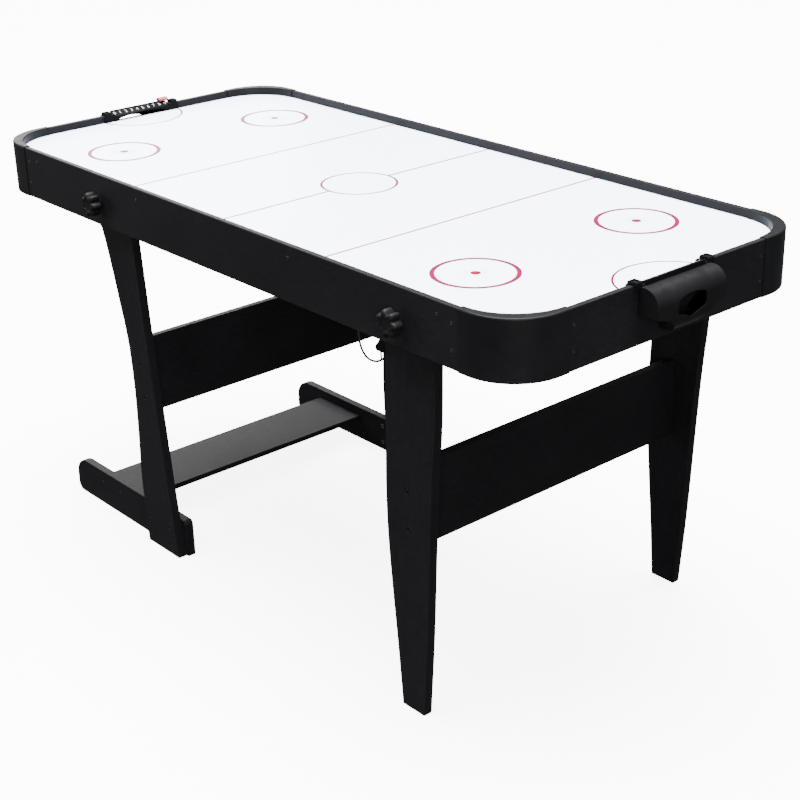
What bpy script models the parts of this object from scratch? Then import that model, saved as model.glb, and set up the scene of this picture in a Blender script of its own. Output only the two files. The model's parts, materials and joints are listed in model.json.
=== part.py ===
"""Folding five-foot air hockey table, built as separate named pieces.

Frame: metres, +Z up, origin on the floor under the middle of the tabletop,
+X along the table towards the straight folding leg frame, -Y the near side.
Two leg frames hinge on pivot bolts inside the side aprons and are clamped
by four star knobs. The left frame stands on long feet, so the tabletop
tips up on end over it for storage.
"""
import math

import bmesh
import bpy
from mathutils import Matrix, Vector

for old in list(bpy.data.objects):
    bpy.data.objects.remove(old, do_unlink=True)

# ---------------------------------------------------------------- dimensions
TABLE_L = 1.530          # over the end aprons
TABLE_W = 0.696          # over the side aprons
RAIL_TOP = 0.782         # top edge of the aprons above the floor
APRON_H = 0.102
APRON_T = 0.011
APRON_BOTTOM = RAIL_TOP - APRON_H
PLAY_Z = 0.767           # playing surface
PLAY_T = 0.009
GAP = 0.0003             # clearance between touching pieces

CORNER_R = 0.117         # plan radius of the rail corners
CORNER_PROUD = 0.0015    # corner mouldings stand proud of the boards
CORNER_SQUARE = 0.021    # straight part of their outer face before the bend
CORNER_LIP = 0.0022      # they stand this far inside the boards' inner faces
X_IN = TABLE_L / 2 - APRON_T
Y_IN = TABLE_W / 2 - APRON_T
X_SEAM = TABLE_L / 2 - CORNER_R
Y_SEAM = TABLE_W / 2 - CORNER_R

LEG_Y_OUT = Y_IN - 0.001     # outer face of the leg panels
LEG_T = 0.0175
LEG_Y_IN = LEG_Y_OUT - LEG_T
PIVOT_Z = 0.7095
LEFT_PIVOT_X = -0.386
RIGHT_PIVOT_X = 0.492
HEAD_R = 0.038               # leg head about the pivot
STUD_DX, STUD_DZ = 0.022, 0.0175   # clamp stud from the pivot
STUD_R = 0.004
SLOT_HALF = 0.0046           # half width of the arc slot
PIVOT_R = 0.004
KNOB_R = 0.0240
KNOB_FACE = 0.030            # knob face in front of the apron

FOOT_T = 0.018
FOOT_H = 0.080
FOOT_Y_OUT = LEG_Y_IN - GAP
FOOT_Y_IN = FOOT_Y_OUT - FOOT_T
FOOT_X0, FOOT_X1 = -0.636, -0.205
SHELF_X0, SHELF_X1 = -0.544, -0.397
SHELF_Z0, SHELF_Z1 = 0.048, 0.060

CROSS_T = 0.018
CROSS_H = 0.152
CROSS_Y = LEG_Y_IN - GAP
RIGHT_CROSS_X = 0.510
RIGHT_CROSS_Z = 0.393
LEFT_CROSS_X, LEFT_CROSS_Z = -0.2885, 0.3840
LEFT_LEAN = 0.0986           # drift in X per metre down the left leg

PLENUM_X, PLENUM_Y = 0.690, 0.312
BASE_Z0, BASE_Z1 = 0.730, 0.736
BATTEN_W = 0.018

FAN_R_OUT, FAN_R_IN = 0.062, 0.0595
FAN_Z0, FAN_Z1 = 0.6680, BASE_Z0 - GAP

GOAL_HALF = 0.082            # half width of the goal box
GOAL_OUT = 0.8065            # front of the goal box from the table centre
GOAL_TOP, GOAL_BOTTOM = 0.7795, 0.697
GOAL_WALL = 0.0025
# half outline of the shoulders under the goal box, (y, z)
GOAL_SHOULDER = [(0.0818, 0.7330), (0.0714, 0.7305), (0.0620, 0.7283), (0.0524, 0.7241),
                 (0.0450, 0.7187), (0.0380, 0.7125), (0.0320, 0.7060), (0.0285, 0.6970)]
# half outline of the hole for taking the puck out, (y, z)
GOAL_HOLE = [(0.0, 0.7605), (0.0160, 0.7590), (0.0312, 0.7537), (0.0330, 0.7430),
             (0.0318, 0.7318), (0.0120, 0.7250), (0.0, 0.7205)]
MOUTH_HALF = 0.064
MOUTH_TOP = 0.7768
NOTCH_HALF = 0.0705
FLANGE_HALF = 0.0960         # end flanges of the scorer inside the rail
HOOK_Y0, HOOK_Y1 = 0.0780, 0.0925    # hooks over the rail
HOOK_TOP = 0.7885
SCORER_TOP = 0.7875
SLIDER_Y = 0.064             # where the counter is parked
DIGIT_PITCH = 0.0145

LEAD_R = 0.0019
INLET_X0, INLET_X1 = 0.4070, 0.4305
INLET_Y = -0.300
INLET_BOTTOM = 0.6350

# ----------------------------------------------------------------- materials


def material(name, colour, rough, metal=0.0):
    mat = bpy.data.materials.new(name)
    mat.use_nodes = True
    bsdf = mat.node_tree.nodes["Principled BSDF"]
    bsdf.inputs["Base Color"].default_value = (*colour, 1.0)
    bsdf.inputs["Roughness"].default_value = rough
    bsdf.inputs["Metallic"].default_value = metal
    return mat


LOOKS = {
    "black_laminate": ((0.012, 0.012, 0.013), 0.42, 0.0),
    "black_moulding": ((0.010, 0.010, 0.011), 0.45, 0.0),
    "white_playfield": ((0.86, 0.87, 0.89), 0.25, 0.0),
    "raw_board": ((0.42, 0.30, 0.19), 0.80, 0.0),
    "black_rubber": ((0.014, 0.014, 0.014), 0.60, 0.0),
    "black_steel": ((0.030, 0.030, 0.032), 0.38, 0.9),
    "zinc_steel": ((0.55, 0.55, 0.56), 0.35, 1.0),
    "red_plastic": ((0.72, 0.05, 0.09), 0.40, 0.0),
}


def dress(obj, look):
    obj.data.materials.clear()
    obj.data.materials.append(material(obj.name + "_mat", *LOOKS[look]))


# ------------------------------------------------------------------- helpers


def new_object(name, bm, look, smooth=None):
    mesh = bpy.data.meshes.new(name)
    bmesh.ops.recalc_face_normals(bm, faces=bm.faces)
    bm.to_mesh(mesh)
    bm.free()
    obj = bpy.data.objects.new(name, mesh)
    bpy.context.scene.collection.objects.link(obj)
    if smooth is not None:
        mesh.shade_smooth()
        mesh.set_sharp_from_angle(angle=math.radians(smooth))
    if look:
        dress(obj, look)
    return obj


def to_axes(axis, a, b, h):
    """A point of a plan (a, b) at height h along the given world axis."""
    if axis == "X":
        return (h, a, b)
    if axis == "Y":
        return (a, h, b)
    return (a, b, h)


def prism_mesh(outline, axis, lo, hi):
    bm = bmesh.new()
    low = [bm.verts.new(to_axes(axis, a, b, lo)) for a, b in outline]
    face = bm.faces.new(low)
    out = bmesh.ops.extrude_face_region(bm, geom=[face])
    move = Vector(to_axes(axis, 0.0, 0.0, hi - lo))
    verts = [g for g in out["geom"] if isinstance(g, bmesh.types.BMVert)]
    bmesh.ops.translate(bm, vec=move, verts=verts)
    return bm


def prism(name, outline, axis, lo, hi, look=None, bevel=0.0, smooth=None):
    obj = new_object(name, prism_mesh(outline, axis, lo, hi), look, smooth)
    if bevel:
        ease(obj, bevel)
    return obj


def ease(obj, width, segments=1, angle=50):
    mod = obj.modifiers.new("eased_edges", "BEVEL")
    mod.width = width
    mod.segments = segments
    mod.limit_method = "ANGLE"
    mod.angle_limit = math.radians(angle)
    mod.use_clamp_overlap = True
    return mod


def rect(a0, a1, b0, b1):
    return [(a0, b0), (a1, b0), (a1, b1), (a0, b1)]


def box(name, x, y, z, look=None, bevel=0.0):
    return prism(name, rect(x[0], x[1], y[0], y[1]), "Z", z[0], z[1], look, bevel)


def circle(cx, cy, r, n=24, start=0.0):
    return [(cx + r * math.cos(start + 2 * math.pi * k / n),
             cy + r * math.sin(start + 2 * math.pi * k / n)) for k in range(n)]


def arc(cx, cy, r, a0, a1, n):
    """n+1 points from a0 to a1 degrees."""
    return [(cx + r * math.cos(math.radians(a0 + (a1 - a0) * k / n)),
             cy + r * math.sin(math.radians(a0 + (a1 - a0) * k / n)))
            for k in range(n + 1)]


def spline(points, per=3):
    """A smooth run through the given points, ends included."""
    pts = [Vector(p) for p in points]
    pts = [2 * pts[0] - pts[1]] + pts + [2 * pts[-1] - pts[-2]]
    run = []
    for i in range(1, len(pts) - 2):
        p0, p1, p2, p3 = pts[i - 1], pts[i], pts[i + 1], pts[i + 2]
        for k in range(per):
            t = k / per
            run.append(0.5 * (2 * p1 + (p2 - p0) * t
                              + (2 * p0 - 5 * p1 + 4 * p2 - p3) * t * t
                              + (3 * p1 - p0 - 3 * p2 + p3) * t ** 3))
    run.append(pts[-2])
    return run


def swept(name, rings, look, smooth=None):
    """A closed skin through rings of points, capped at both ends."""
    bm = bmesh.new()
    made = [[bm.verts.new(p) for p in ring] for ring in rings]
    for a, b in zip(made, made[1:]):
        for k in range(len(a)):
            j = (k + 1) % len(a)
            bm.faces.new((a[k], a[j], b[j], b[k]))
    bm.faces.new(made[0][::-1])
    bm.faces.new(made[-1])
    return new_object(name, bm, look, smooth)


def cutter(obj):
    obj.hide_render = True
    obj.display_type = "WIRE"
    return obj


def combine(obj, tool, how="DIFFERENCE"):
    mod = obj.modifiers.new(how.lower(), "BOOLEAN")
    mod.operation = how
    mod.solver = "EXACT"
    mod.object = cutter(tool)
    return mod


def drill(obj, axis, centre, r, lo, hi, n=20):
    """A round hole through obj along an axis, between lo and hi."""
    tool = prism(obj.name + "_drill", circle(centre[0], centre[1], r, n), axis, lo, hi)
    combine(obj, tool)


def set_origin(obj, point):
    """Put the object's origin on its joint axis without moving its shape."""
    shift = Vector(point)
    obj.data.transform(Matrix.Translation(-shift))
    obj.location = shift


def turned(name, profile, look, segments=24, at=(0, 0, 0), smooth=40):
    """A closed solid of revolution about +Z from an (r, z) profile that
    starts and ends on the axis."""
    bm = bmesh.new()
    rings = []
    for r, z in profile:
        if r < 1e-9:
            rings.append([bm.verts.new((0, 0, z))])
        else:
            rings.append([bm.verts.new((r * math.cos(2 * math.pi * k / segments),
                                        r * math.sin(2 * math.pi * k / segments), z))
                          for k in range(segments)])
    for a, b in zip(rings, rings[1:]):
        for k in range(segments):
            j = (k + 1) % segments
            if len(a) == 1:
                bm.faces.new((a[0], b[k], b[j]))
            elif len(b) == 1:
                bm.faces.new((a[k], a[j], b[0]))
            else:
                bm.faces.new((a[k], a[j], b[j], b[k]))
    bmesh.ops.translate(bm, vec=Vector(at), verts=bm.verts)
    return new_object(name, bm, look, smooth)


def ring_turned(name, profile, look, segments=32, at=(0, 0, 0), smooth=40):
    """A closed ring of revolution about +Z from a closed (r, z) loop."""
    bm = bmesh.new()
    rings = [[bm.verts.new((r * math.cos(2 * math.pi * k / segments),
                            r * math.sin(2 * math.pi * k / segments), z))
              for k in range(segments)] for r, z in profile]
    for i in range(len(rings)):
        a, b = rings[i], rings[(i + 1) % len(rings)]
        for k in range(segments):
            j = (k + 1) % segments
            bm.faces.new((a[k], a[j], b[j], b[k]))
    bmesh.ops.translate(bm, vec=Vector(at), verts=bm.verts)
    return new_object(name, bm, look, smooth)


SIDES = (("near", -1), ("far", 1))
ENDS = (("left", -1), ("right", 1))
PIVOT_X = {"left": LEFT_PIVOT_X, "right": RIGHT_PIVOT_X}

# ------------------------------------------------------------- side and ends

for side, s in SIDES:
    y0, y1 = sorted((s * Y_IN, s * TABLE_W / 2))
    apron = box(side + "_side_apron", (-X_SEAM, X_SEAM), (y0, y1),
                (APRON_BOTTOM, RAIL_TOP), "black_laminate", 0.0010)
    for end, e in ENDS:
        px = PIVOT_X[end]
        drill(apron, "Y", (px + STUD_DX, PIVOT_Z + STUD_DZ), STUD_R + GAP,
              y0 - 0.01, y1 + 0.01, 14)
        # blind seat for the pivot bolt, from the inner face
        seat = sorted((s * (Y_IN - 0.01), s * (Y_IN + 0.0082)))
        drill(apron, "Y", (px, PIVOT_Z), PIVOT_R + GAP, seat[0], seat[1], 14)

for end, e in ENDS:
    x0, x1 = sorted((e * X_IN, e * TABLE_L / 2))
    apron = box(end + "_end_apron", (x0, x1), (-Y_SEAM + GAP, Y_SEAM - GAP),
                (APRON_BOTTOM, RAIL_TOP), "black_laminate", 0.0010)
    notch = box(end + "_mouth_notch", (x0 - 0.01, x1 + 0.01),
                (-NOTCH_HALF, NOTCH_HALF), (PLAY_Z - 0.0006, RAIL_TOP + 0.01))
    combine(apron, notch)

# -------------------------------------------------------------- rail corners

RC_OUT = CORNER_R + CORNER_PROUD
RC_IN = CORNER_R - APRON_T
RC_WEB = RC_IN - 0.0095      # thickened web under the playfield
TONGUE = 0.030
# wall of the corner moulding in (radius, z)
CORNER_PROFILE = [(RC_IN - GAP, APRON_BOTTOM - 0.0005), (RC_OUT - GAP, APRON_BOTTOM - 0.0005),
                  (RC_OUT - GAP, RAIL_TOP + CORNER_PROUD),
                  (RC_IN - CORNER_LIP, RAIL_TOP + CORNER_PROUD),
                  (RC_IN - CORNER_LIP, PLAY_Z - PLAY_T - 0.0010),
                  (RC_IN - GAP, PLAY_Z - PLAY_T - 0.0010)]



def corner_bulge(a):
    """How far the outer face lies beyond a plain arc at angle a."""
    d, c, q = CORNER_SQUARE, math.cos(a), math.sin(a)
    if RC_OUT * min(c, q) <= d * max(c, q):
        return RC_OUT / max(c, q) - RC_OUT
    bend = RC_OUT - d
    return d * (c + q) + math.sqrt(d * d * (c + q) ** 2 - 2 * d * d + bend * bend) - RC_OUT


for end, e in ENDS:
    for side, s in SIDES:
        cx, cy = X_SEAM + GAP, Y_SEAM + GAP
        web = (arc(cx, cy, RC_IN + 0.001, 0, 90, 12)
               + [(cx - 0.0001, cy + RC_IN - 2 * GAP), (cx - TONGUE, cy + RC_IN - 2 * GAP),
                  (cx - TONGUE, cy + RC_WEB)]
               + arc(cx, cy, RC_WEB, 90, 0, 12)
               + [(cx + RC_WEB, cy - TONGUE), (cx + RC_IN - 2 * GAP, cy - TONGUE),
                  (cx + RC_IN - 2 * GAP, cy - 0.0001)])
        mirror = lambda pts: [(e * a, s * b) for a, b in pts]
        rings = []
        for k in range(13):
            a = math.radians(90 * k / 12)
            wall = [(r + corner_bulge(a) if r > RC_IN + 0.002 else r, z)
                    for r, z in CORNER_PROFILE]
            rings.append([(e * (cx + r * math.cos(a)), s * (cy + r * math.sin(a)), z)
                          for r, z in wall])
        piece = swept("rail_corner_%s_%s" % (side, end), rings, "black_moulding", 35)
        body = prism(piece.name + "_web", mirror(web), "Z", 0.690, PLAY_Z - PLAY_T - 0.0005)
        combine(piece, body, "UNION")

# ----------------------------------------------------------- playing surface

# its rounded corners stop at the corner mouldings; its straight edges run
# into the hairline beside the boards
plan = []
for sx, sy, a0 in ((1, 1, 0), (-1, 1, 90), (-1, -1, 180), (1, -1, 270)):
    ends = [arc(sx * X_SEAM, sy * Y_SEAM, RC_IN - 0.0008, a, a, 1)[0]
            for a in (a0, a0 + 90)]
    plan += ([ends[0]]
             + arc(sx * X_SEAM, sy * Y_SEAM, RC_IN - CORNER_LIP - GAP, a0, a0 + 90, 10)
             + [ends[1]])
prism("playfield_panel", plan, "Z", PLAY_Z - PLAY_T, PLAY_Z, "white_playfield")

# air chamber under it: base board and four battens
base = box("plenum_base", (-PLENUM_X, PLENUM_X), (-PLENUM_Y, PLENUM_Y),
           (BASE_Z0, BASE_Z1), "raw_board")
drill(base, "Z", (0, 0), 0.054, BASE_Z0 - 0.01, BASE_Z1 + 0.01, 28)
BAT_Z = (BASE_Z1 + GAP, PLAY_Z - PLAY_T - GAP)
for side, s in SIDES:
    y0, y1 = sorted((s * PLENUM_Y, s * (PLENUM_Y - BATTEN_W)))
    box("plenum_batten_" + side, (-PLENUM_X, PLENUM_X), (y0, y1), BAT_Z, "raw_board")
for end, e in ENDS:
    x0, x1 = sorted((e * PLENUM_X, e * (PLENUM_X - BATTEN_W)))
    inner = PLENUM_Y - BATTEN_W - GAP
    box("plenum_batten_" + end, (x0, x1), (-inner, inner), BAT_Z, "raw_board")

# ------------------------------------------------------------------- blower

housing = ring_turned("blower_housing",
                      [(FAN_R_IN, FAN_Z0), (FAN_R_OUT, FAN_Z0),
                       (FAN_R_OUT, FAN_Z1 - 0.003), (0.072, FAN_Z1 - 0.003),
                       (0.072, FAN_Z1), (FAN_R_IN, FAN_Z1)],
                      "black_moulding", 28)

grille_z = (FAN_Z0 - 0.0040, FAN_Z0 - GAP)
grille = prism("fan_grille", circle(0, 0, FAN_R_OUT, 28), "Z", *grille_z,
               look="black_moulding")
for ring_in, ring_out in ((0.024, 0.036), (0.041, 0.054)):
    for k in range(4):
        a0 = 90 * k + 45 / 2 + math.degrees(0.0025 / ring_in)
        a1 = 90 * (k + 1) + 45 / 2 - math.degrees(0.0025 / ring_in)
        pts = arc(0, 0, ring_in, a0, a1, 5) + arc(0, 0, ring_out, a1, a0, 5)
        combine(grille, prism("grille_slot", pts, "Z", grille_z[0] - 0.01,
                              grille_z[1] + 0.01))

turned("fan_motor", [(0, FAN_Z0), (0.016, FAN_Z0), (0.0175, FAN_Z0 + 0.0015),
                     (0.0175, 0.695), (0.016, 0.6965), (0.0035, 0.6965),
                     (0.0035, 0.699), (0.0015, 0.699), (0.0015, 0.714), (0, 0.714)],
       "zinc_steel", 16)

HUB_Z0, HUB_Z1 = 0.7000, 0.7200
BLADES = 5
hub = turned("fan_impeller", [(0, HUB_Z0), (0.0185, HUB_Z0), (0.0200, HUB_Z0 + 0.0015),
                              (0.0200, HUB_Z1 - 0.003), (0.0170, HUB_Z1), (0, HUB_Z1)],
             "black_moulding", 20)
for k in range(BLADES):
    bm = bmesh.new()
    stations = []
    for i in range(4):
        t = i / 3
        r = 0.0180 + t * (0.0560 - 0.0180)
        pitch = math.radians(38 - 14 * t)
        chord = 0.024 + 0.008 * t
        sweep = 0.10 * t
        ring = []
        for u, w in ((-0.5, -0.0006), (0.5, -0.0006), (0.5, 0.0006), (-0.5, 0.0006)):
            along = chord * u
            dz = along * math.sin(pitch) + w * math.cos(pitch)
            dy = along * math.cos(pitch) - w * math.sin(pitch)
            dz = max(-0.0085, min(0.0085, dz)) if abs(dz) > 0.0085 else dz
            ang = sweep + dy / r
            ring.append(bm.verts.new((r * math.cos(ang), r * math.sin(ang),
                                      (HUB_Z0 + HUB_Z1) / 2 + dz)))
        stations.append(ring)
    for a, b in zip(stations, stations[1:]):
        for q in range(4):
            bm.faces.new((a[q], a[(q + 1) % 4], b[(q + 1) % 4], b[q]))
    bm.faces.new(stations[0][::-1])
    bm.faces.new(stations[-1])
    bmesh.ops.rotate(bm, cent=(0, 0, 0), matrix=Matrix.Rotation(2 * math.pi * k / BLADES, 3, "Z"),
                     verts=bm.verts)
    combine(hub, new_object("impeller_blade", bm, None), "UNION")
drill(hub, "Z", (0, 0), 0.0019, HUB_Z0 - 0.005, 0.7145, 12)

# ------------------------------------------------ goal boxes, scorer, counter


def goal_side(inset):
    """Side outline of the goal box in (distance from table centre, z)."""
    top, bot, out = GOAL_TOP - inset, GOAL_BOTTOM + inset, GOAL_OUT - inset
    r_top, r_bot = 0.028 - inset, 0.030 - inset
    back = TABLE_L / 2 + GAP - (0.02 if inset else 0.0)
    return ([(back, top)] + arc(out - r_top, top - r_top, r_top, 90, 0, 8)
            + arc(out - r_bot, bot + r_bot, r_bot, 0, -90, 8) + [(back, bot)])


def goal_front(inset):
    """Front outline of the goal box in (y, z): shoulders curve in below."""
    side = [(y - (0.6 * inset if n else inset), z + inset)
            for n, (y, z) in enumerate(GOAL_SHOULDER)]
    if not inset:                # run out below the bottom face
        side.append((0.0265, GOAL_BOTTOM - 0.010))
    half = [(GOAL_HALF - inset, GOAL_TOP + 0.02)] + side
    return half + [(-y, z) for y, z in half[::-1]]


for end, e in ENDS:
    mir = lambda pts: [(e * a, b) for a, b in pts]
    goal = prism("goal_box_" + end, mir(goal_side(0.0)), "Y", -GOAL_HALF, GOAL_HALF,
                 "black_moulding", smooth=35)
    x0, x1 = sorted((e * 0.74, e * 0.84))
    combine(goal, prism("goal_front_trim", goal_front(0.0), "X", x0, x1), "INTERSECT")
    hollow = prism("goal_hollow", mir(goal_side(GOAL_WALL)), "Y",
                   -GOAL_HALF + GOAL_WALL, GOAL_HALF - GOAL_WALL)
    combine(hollow, prism("goal_hollow_trim", goal_front(GOAL_WALL), "X", x0, x1),
            "INTERSECT")
    combine(goal, hollow)
    # hole for taking the puck out
    hole = GOAL_HOLE + [(-y, z) for y, z in GOAL_HOLE[-2:0:-1]]
    x0, x1 = sorted((e * 0.790, e * 0.840))
    combine(goal, prism("goal_hole", hole, "X", x0, x1))
    # room for the scorer's back edge and hooks
    x0, x1 = sorted((e * 0.750, e * 0.7716))
    combine(goal, box("goal_scorer_room", (x0, x1), (-0.12, 0.12), (0.7741, 0.80)))

    # scorer: one moulding that spans the mouth and hooks over the rail
    bar = [(0.7505, PLAY_Z + GAP), (0.7505, 0.7785), (0.7690, SCORER_TOP),
           (0.7712, SCORER_TOP), (0.7712, 0.7745), (0.7650, 0.7745),
           (0.7650, PLAY_Z + GAP)]
    scorer = prism("scorer_" + end, mir(bar), "Y", -NOTCH_HALF + GAP, NOTCH_HALF - GAP,
                   "black_moulding", smooth=35)
    arch = [(-MOUTH_HALF, PLAY_Z - 0.01), (MOUTH_HALF, PLAY_Z - 0.01)]
    arch += [(MOUTH_HALF * math.cos(math.pi * k / 12),
              PLAY_Z + 0.0002 + (MOUTH_TOP - PLAY_Z) * math.sin(math.pi * k / 12) ** 0.8)
             for k in range(13)]
    x0, x1 = sorted((e * 0.740, e * 0.785))
    combine(scorer, prism("mouth_arch", arch, "X", x0, x1))
    for s in (-1, 1):
        ya, yb = sorted((s * (NOTCH_HALF - 0.0015), s * FLANGE_HALF))
        flange = [(0.7510, PLAY_Z + 0.0007), (0.7535, PLAY_Z + 0.0007), (0.7535, 0.7815),
                  (0.7526, 0.7828), (0.7510, 0.7828)]
        combine(scorer, prism("scorer_flange", mir(flange), "Y", ya, yb), "UNION")
        hook = ([(0.7512, 0.7800), (0.7512, HOOK_TOP - 0.0035)]
                + arc(0.7547, HOOK_TOP - 0.0035, 0.0035, 180, 90, 3)
                + arc(0.7670, HOOK_TOP - 0.0035, 0.0035, 90, 0, 3)
                + [(0.7705, 0.7750), (0.7653, 0.7750), (0.7653, RAIL_TOP + GAP),
                   (0.7533, RAIL_TOP + GAP), (0.7533, 0.7800)])
        ya, yb = sorted((s * HOOK_Y0, s * HOOK_Y1))
        clip = prism("scorer_hook", mir(hook), "Y", ya, yb, smooth=35)
        combine(scorer, clip, "UNION")
        # outer bridge from the bar to the hook
        ya, yb = sorted((s * (NOTCH_HALF - 0.0015), s * (HOOK_Y0 + 0.001)))
        xa, xb = sorted((e * 0.7655, e * 0.7700))
        combine(scorer, box("scorer_bridge", (xa, xb), (ya, yb), (0.7755, 0.7815)), "UNION")
        # shallow pocket in the top of the hook
        ya, yb = sorted((s * (HOOK_Y0 + 0.0022), s * (HOOK_Y1 - 0.0022)))
        xa, xb = sorted((e * 0.7560, e * 0.7675))
        combine(scorer, box("hook_pocket", (xa, xb), (ya, yb), (HOOK_TOP - 0.0025, 0.80)))
    # track for the counter along the top edge
    x0, x1 = sorted((e * 0.7665, e * 0.7697))
    combine(scorer, box("counter_track", (x0, x1), (-0.0690, 0.0690),
                        (SCORER_TOP - 0.0040, SCORER_TOP + 0.01)))

# red counter on the left scorer


counter = prism("score_counter_left",
                [(-0.7615, SCORER_TOP + GAP), (-0.7740, SCORER_TOP + GAP),
                 (-0.7740, 0.7920), (-0.7715, 0.7948), (-0.7655, 0.7948),
                 (-0.7615, 0.7915)],
                "Y", SLIDER_Y - 0.0115, SLIDER_Y + 0.0115, "red_plastic", 0.0008)
keel = box("counter_keel", (-0.7697 + GAP, -0.7665 - GAP),
           (SLIDER_Y - 0.0045, SLIDER_Y + 0.0045),
           (SCORER_TOP - 0.0040 + GAP, SCORER_TOP + 0.002))
combine(counter, keel, "UNION")

# ------------------------------------------------------------------ leg panels


def left_leg_outline():
    px, pz = LEFT_PIVOT_X, PIVOT_Z
    head = arc(px, pz, HEAD_R, 205, 90, 9)
    shoulder = arc(-0.315, pz + HEAD_R - 0.030, 0.030, 90, 5, 4)
    front = spline([(-0.2835, 0.690), (-0.2790, 0.640), (-0.2634, 0.459),
                    (-0.2485, 0.314), (-0.2310, 0.147), (-0.2122, 0.0)], 2)
    back = spline([(-0.3239, 0.0), (-0.3285, 0.090), (-0.3300, 0.170), (-0.3262, 0.259),
                   (-0.3248, 0.350), (-0.3320, 0.445), (-0.3517, 0.5315),
                   (-0.3745, 0.620), (-0.3900, 0.668)], 2)
    return head + shoulder + [tuple(p) for p in front] + [tuple(p) for p in back]


def right_leg_outline():
    px, pz = RIGHT_PIVOT_X, PIVOT_Z
    head = arc(px, pz, HEAD_R, 190, 90, 8)
    shoulder = arc(0.5525, pz + HEAD_R - 0.030, 0.030, 90, 5, 4)
    front = spline([(0.5825, 0.680), (0.5792, 0.5625), (0.5710, 0.4700),
                    (0.5631, 0.3450), (0.5531, 0.1600), (0.5405, 0.0)], 2)
    back = spline([(0.4857, 0.0), (0.4760, 0.120), (0.4660, 0.225), (0.4582, 0.325),
                   (0.4563, 0.410), (0.4590, 0.500), (0.4627, 0.600), (0.4643, 0.665)], 2)
    return head + shoulder + [tuple(p) for p in front] + [tuple(p) for p in back]


def slot_outline(px, pz):
    """Banana slot that lets the clamp stud pass as the leg swings."""
    r = math.hypot(STUD_DX, STUD_DZ)
    a0 = math.degrees(math.atan2(STUD_DZ, STUD_DX))
    a1 = a0 + 90
    end0 = (px + r * math.cos(math.radians(a0)), pz + r * math.sin(math.radians(a0)))
    end1 = (px + r * math.cos(math.radians(a1)), pz + r * math.sin(math.radians(a1)))
    return (arc(px, pz, r + SLOT_HALF, a0, a1, 8)
            + arc(end1[0], end1[1], SLOT_HALF, a1, a1 + 180, 6)[1:]
            + arc(px, pz, r - SLOT_HALF, a1, a0, 8)[1:]
            + arc(end0[0], end0[1], SLOT_HALF, a0 + 180, a0 + 360, 6)[1:-1])


LEG_OUTLINE = {"left": left_leg_outline(), "right": right_leg_outline()}
CROSS_BOLTS = {"left": ((-0.2920, 0.407), (-0.2850, 0.336)),
               "right": ((0.510, 0.4225), (0.510, 0.3530))}

for end, e in ENDS:
    for side, s in SIDES:
        y0, y1 = sorted((s * LEG_Y_IN, s * LEG_Y_OUT))
        leg = prism("%s_leg_%s" % (end, side), LEG_OUTLINE[end], "Y", y0, y1,
                    "black_laminate")
        px = PIVOT_X[end]
        drill(leg, "Y", (px, PIVOT_Z), PIVOT_R + GAP, y0 - 0.01, y1 + 0.01, 16)
        combine(leg, prism(leg.name + "_slot", slot_outline(px, PIVOT_Z), "Y",
                           y0 - 0.01, y1 + 0.01))
        for bx, bz in CROSS_BOLTS[end]:
            drill(leg, "Y", (bx, bz), 0.0033, y0 - 0.01, y1 + 0.01, 10)
            lo, hi = sorted((s * (LEG_Y_OUT - 0.0032), s * (LEG_Y_OUT + 0.01)))
            drill(leg, "Y", (bx, bz), 0.0056, lo, hi, 12)
        set_origin(leg, (px, s * (LEG_Y_IN + LEG_Y_OUT) / 2, PIVOT_Z))

# cross panels between the legs
half = CROSS_H / 2
cross = prism("right_cross_panel",
              rect(RIGHT_CROSS_X - CROSS_T / 2, RIGHT_CROSS_X + CROSS_T / 2,
                   RIGHT_CROSS_Z - half, RIGHT_CROSS_Z + half),
              "Y", -CROSS_Y, CROSS_Y, "black_laminate", 0.0008)
lean = math.atan(LEFT_LEAN)
ax = Vector((-math.sin(lean), math.cos(lean)))
nx = Vector((math.cos(lean), math.sin(lean)))
mid = Vector((LEFT_CROSS_X, LEFT_CROSS_Z))
panel = [mid + nx * (a * CROSS_T / 2) + ax * (b * half)
         for a, b in ((-1, -1), (1, -1), (1, 1), (-1, 1))]
left_cross = prism("left_cross_panel", [tuple(p) for p in panel], "Y",
                   -CROSS_Y, CROSS_Y, "black_laminate", 0.0008)

# flush bolts through the legs into the ends of the cross panels
BOLT_IN = 0.032
for end, e in ENDS:
    host = cross if end == "right" else left_cross
    for side, s in SIDES:
        for n, (bx, bz) in enumerate(CROSS_BOLTS[end]):
            lo, hi = sorted((s * (CROSS_Y + 0.01), s * (CROSS_Y - BOLT_IN)))
            drill(host, "Y", (bx, bz), 0.0033, lo, hi, 10)
            bolt = turned("%s_leg_bolt_%s_%s" % (end, side, ("upper", "lower")[n]),
                          [(0, 0), (0.0022, 0), (0.0022, -0.0006), (0.0050, -0.0006),
                           (0.0051, -0.0028), (0.0030, -0.0028), (0.0030, -0.0480),
                           (0, -0.0480)], "black_steel", 10)
            bolt.data.transform(Matrix.Rotation(-s * math.pi / 2, 4, "X"))
            bolt.data.transform(Matrix.Translation((bx, s * LEG_Y_OUT, bz)))

# ------------------------------------------------------------------- left feet

for side, s in SIDES:
    y0, y1 = sorted((s * FOOT_Y_IN, s * FOOT_Y_OUT))
    plan = (arc(FOOT_X0 + 0.018, 0.018, 0.018, 270, 180, 5)
            + arc(FOOT_X0 + 0.042, FOOT_H - 0.042, 0.042, 180, 90, 8)
            + arc(FOOT_X1 - 0.010, FOOT_H - 0.010, 0.010, 90, 0, 4)
            + [(FOOT_X1, 0.0)])
    prism("foot_board_" + side, plan, "Y", y0, y1, "black_laminate", 0.0008)
box("shelf_board", (SHELF_X0, SHELF_X1), (-FOOT_Y_IN + GAP, FOOT_Y_IN - GAP),
    (SHELF_Z0, SHELF_Z1), "black_laminate", 0.0008)

# ------------------------------------------------- pivot bolts, nuts and knobs


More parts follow.
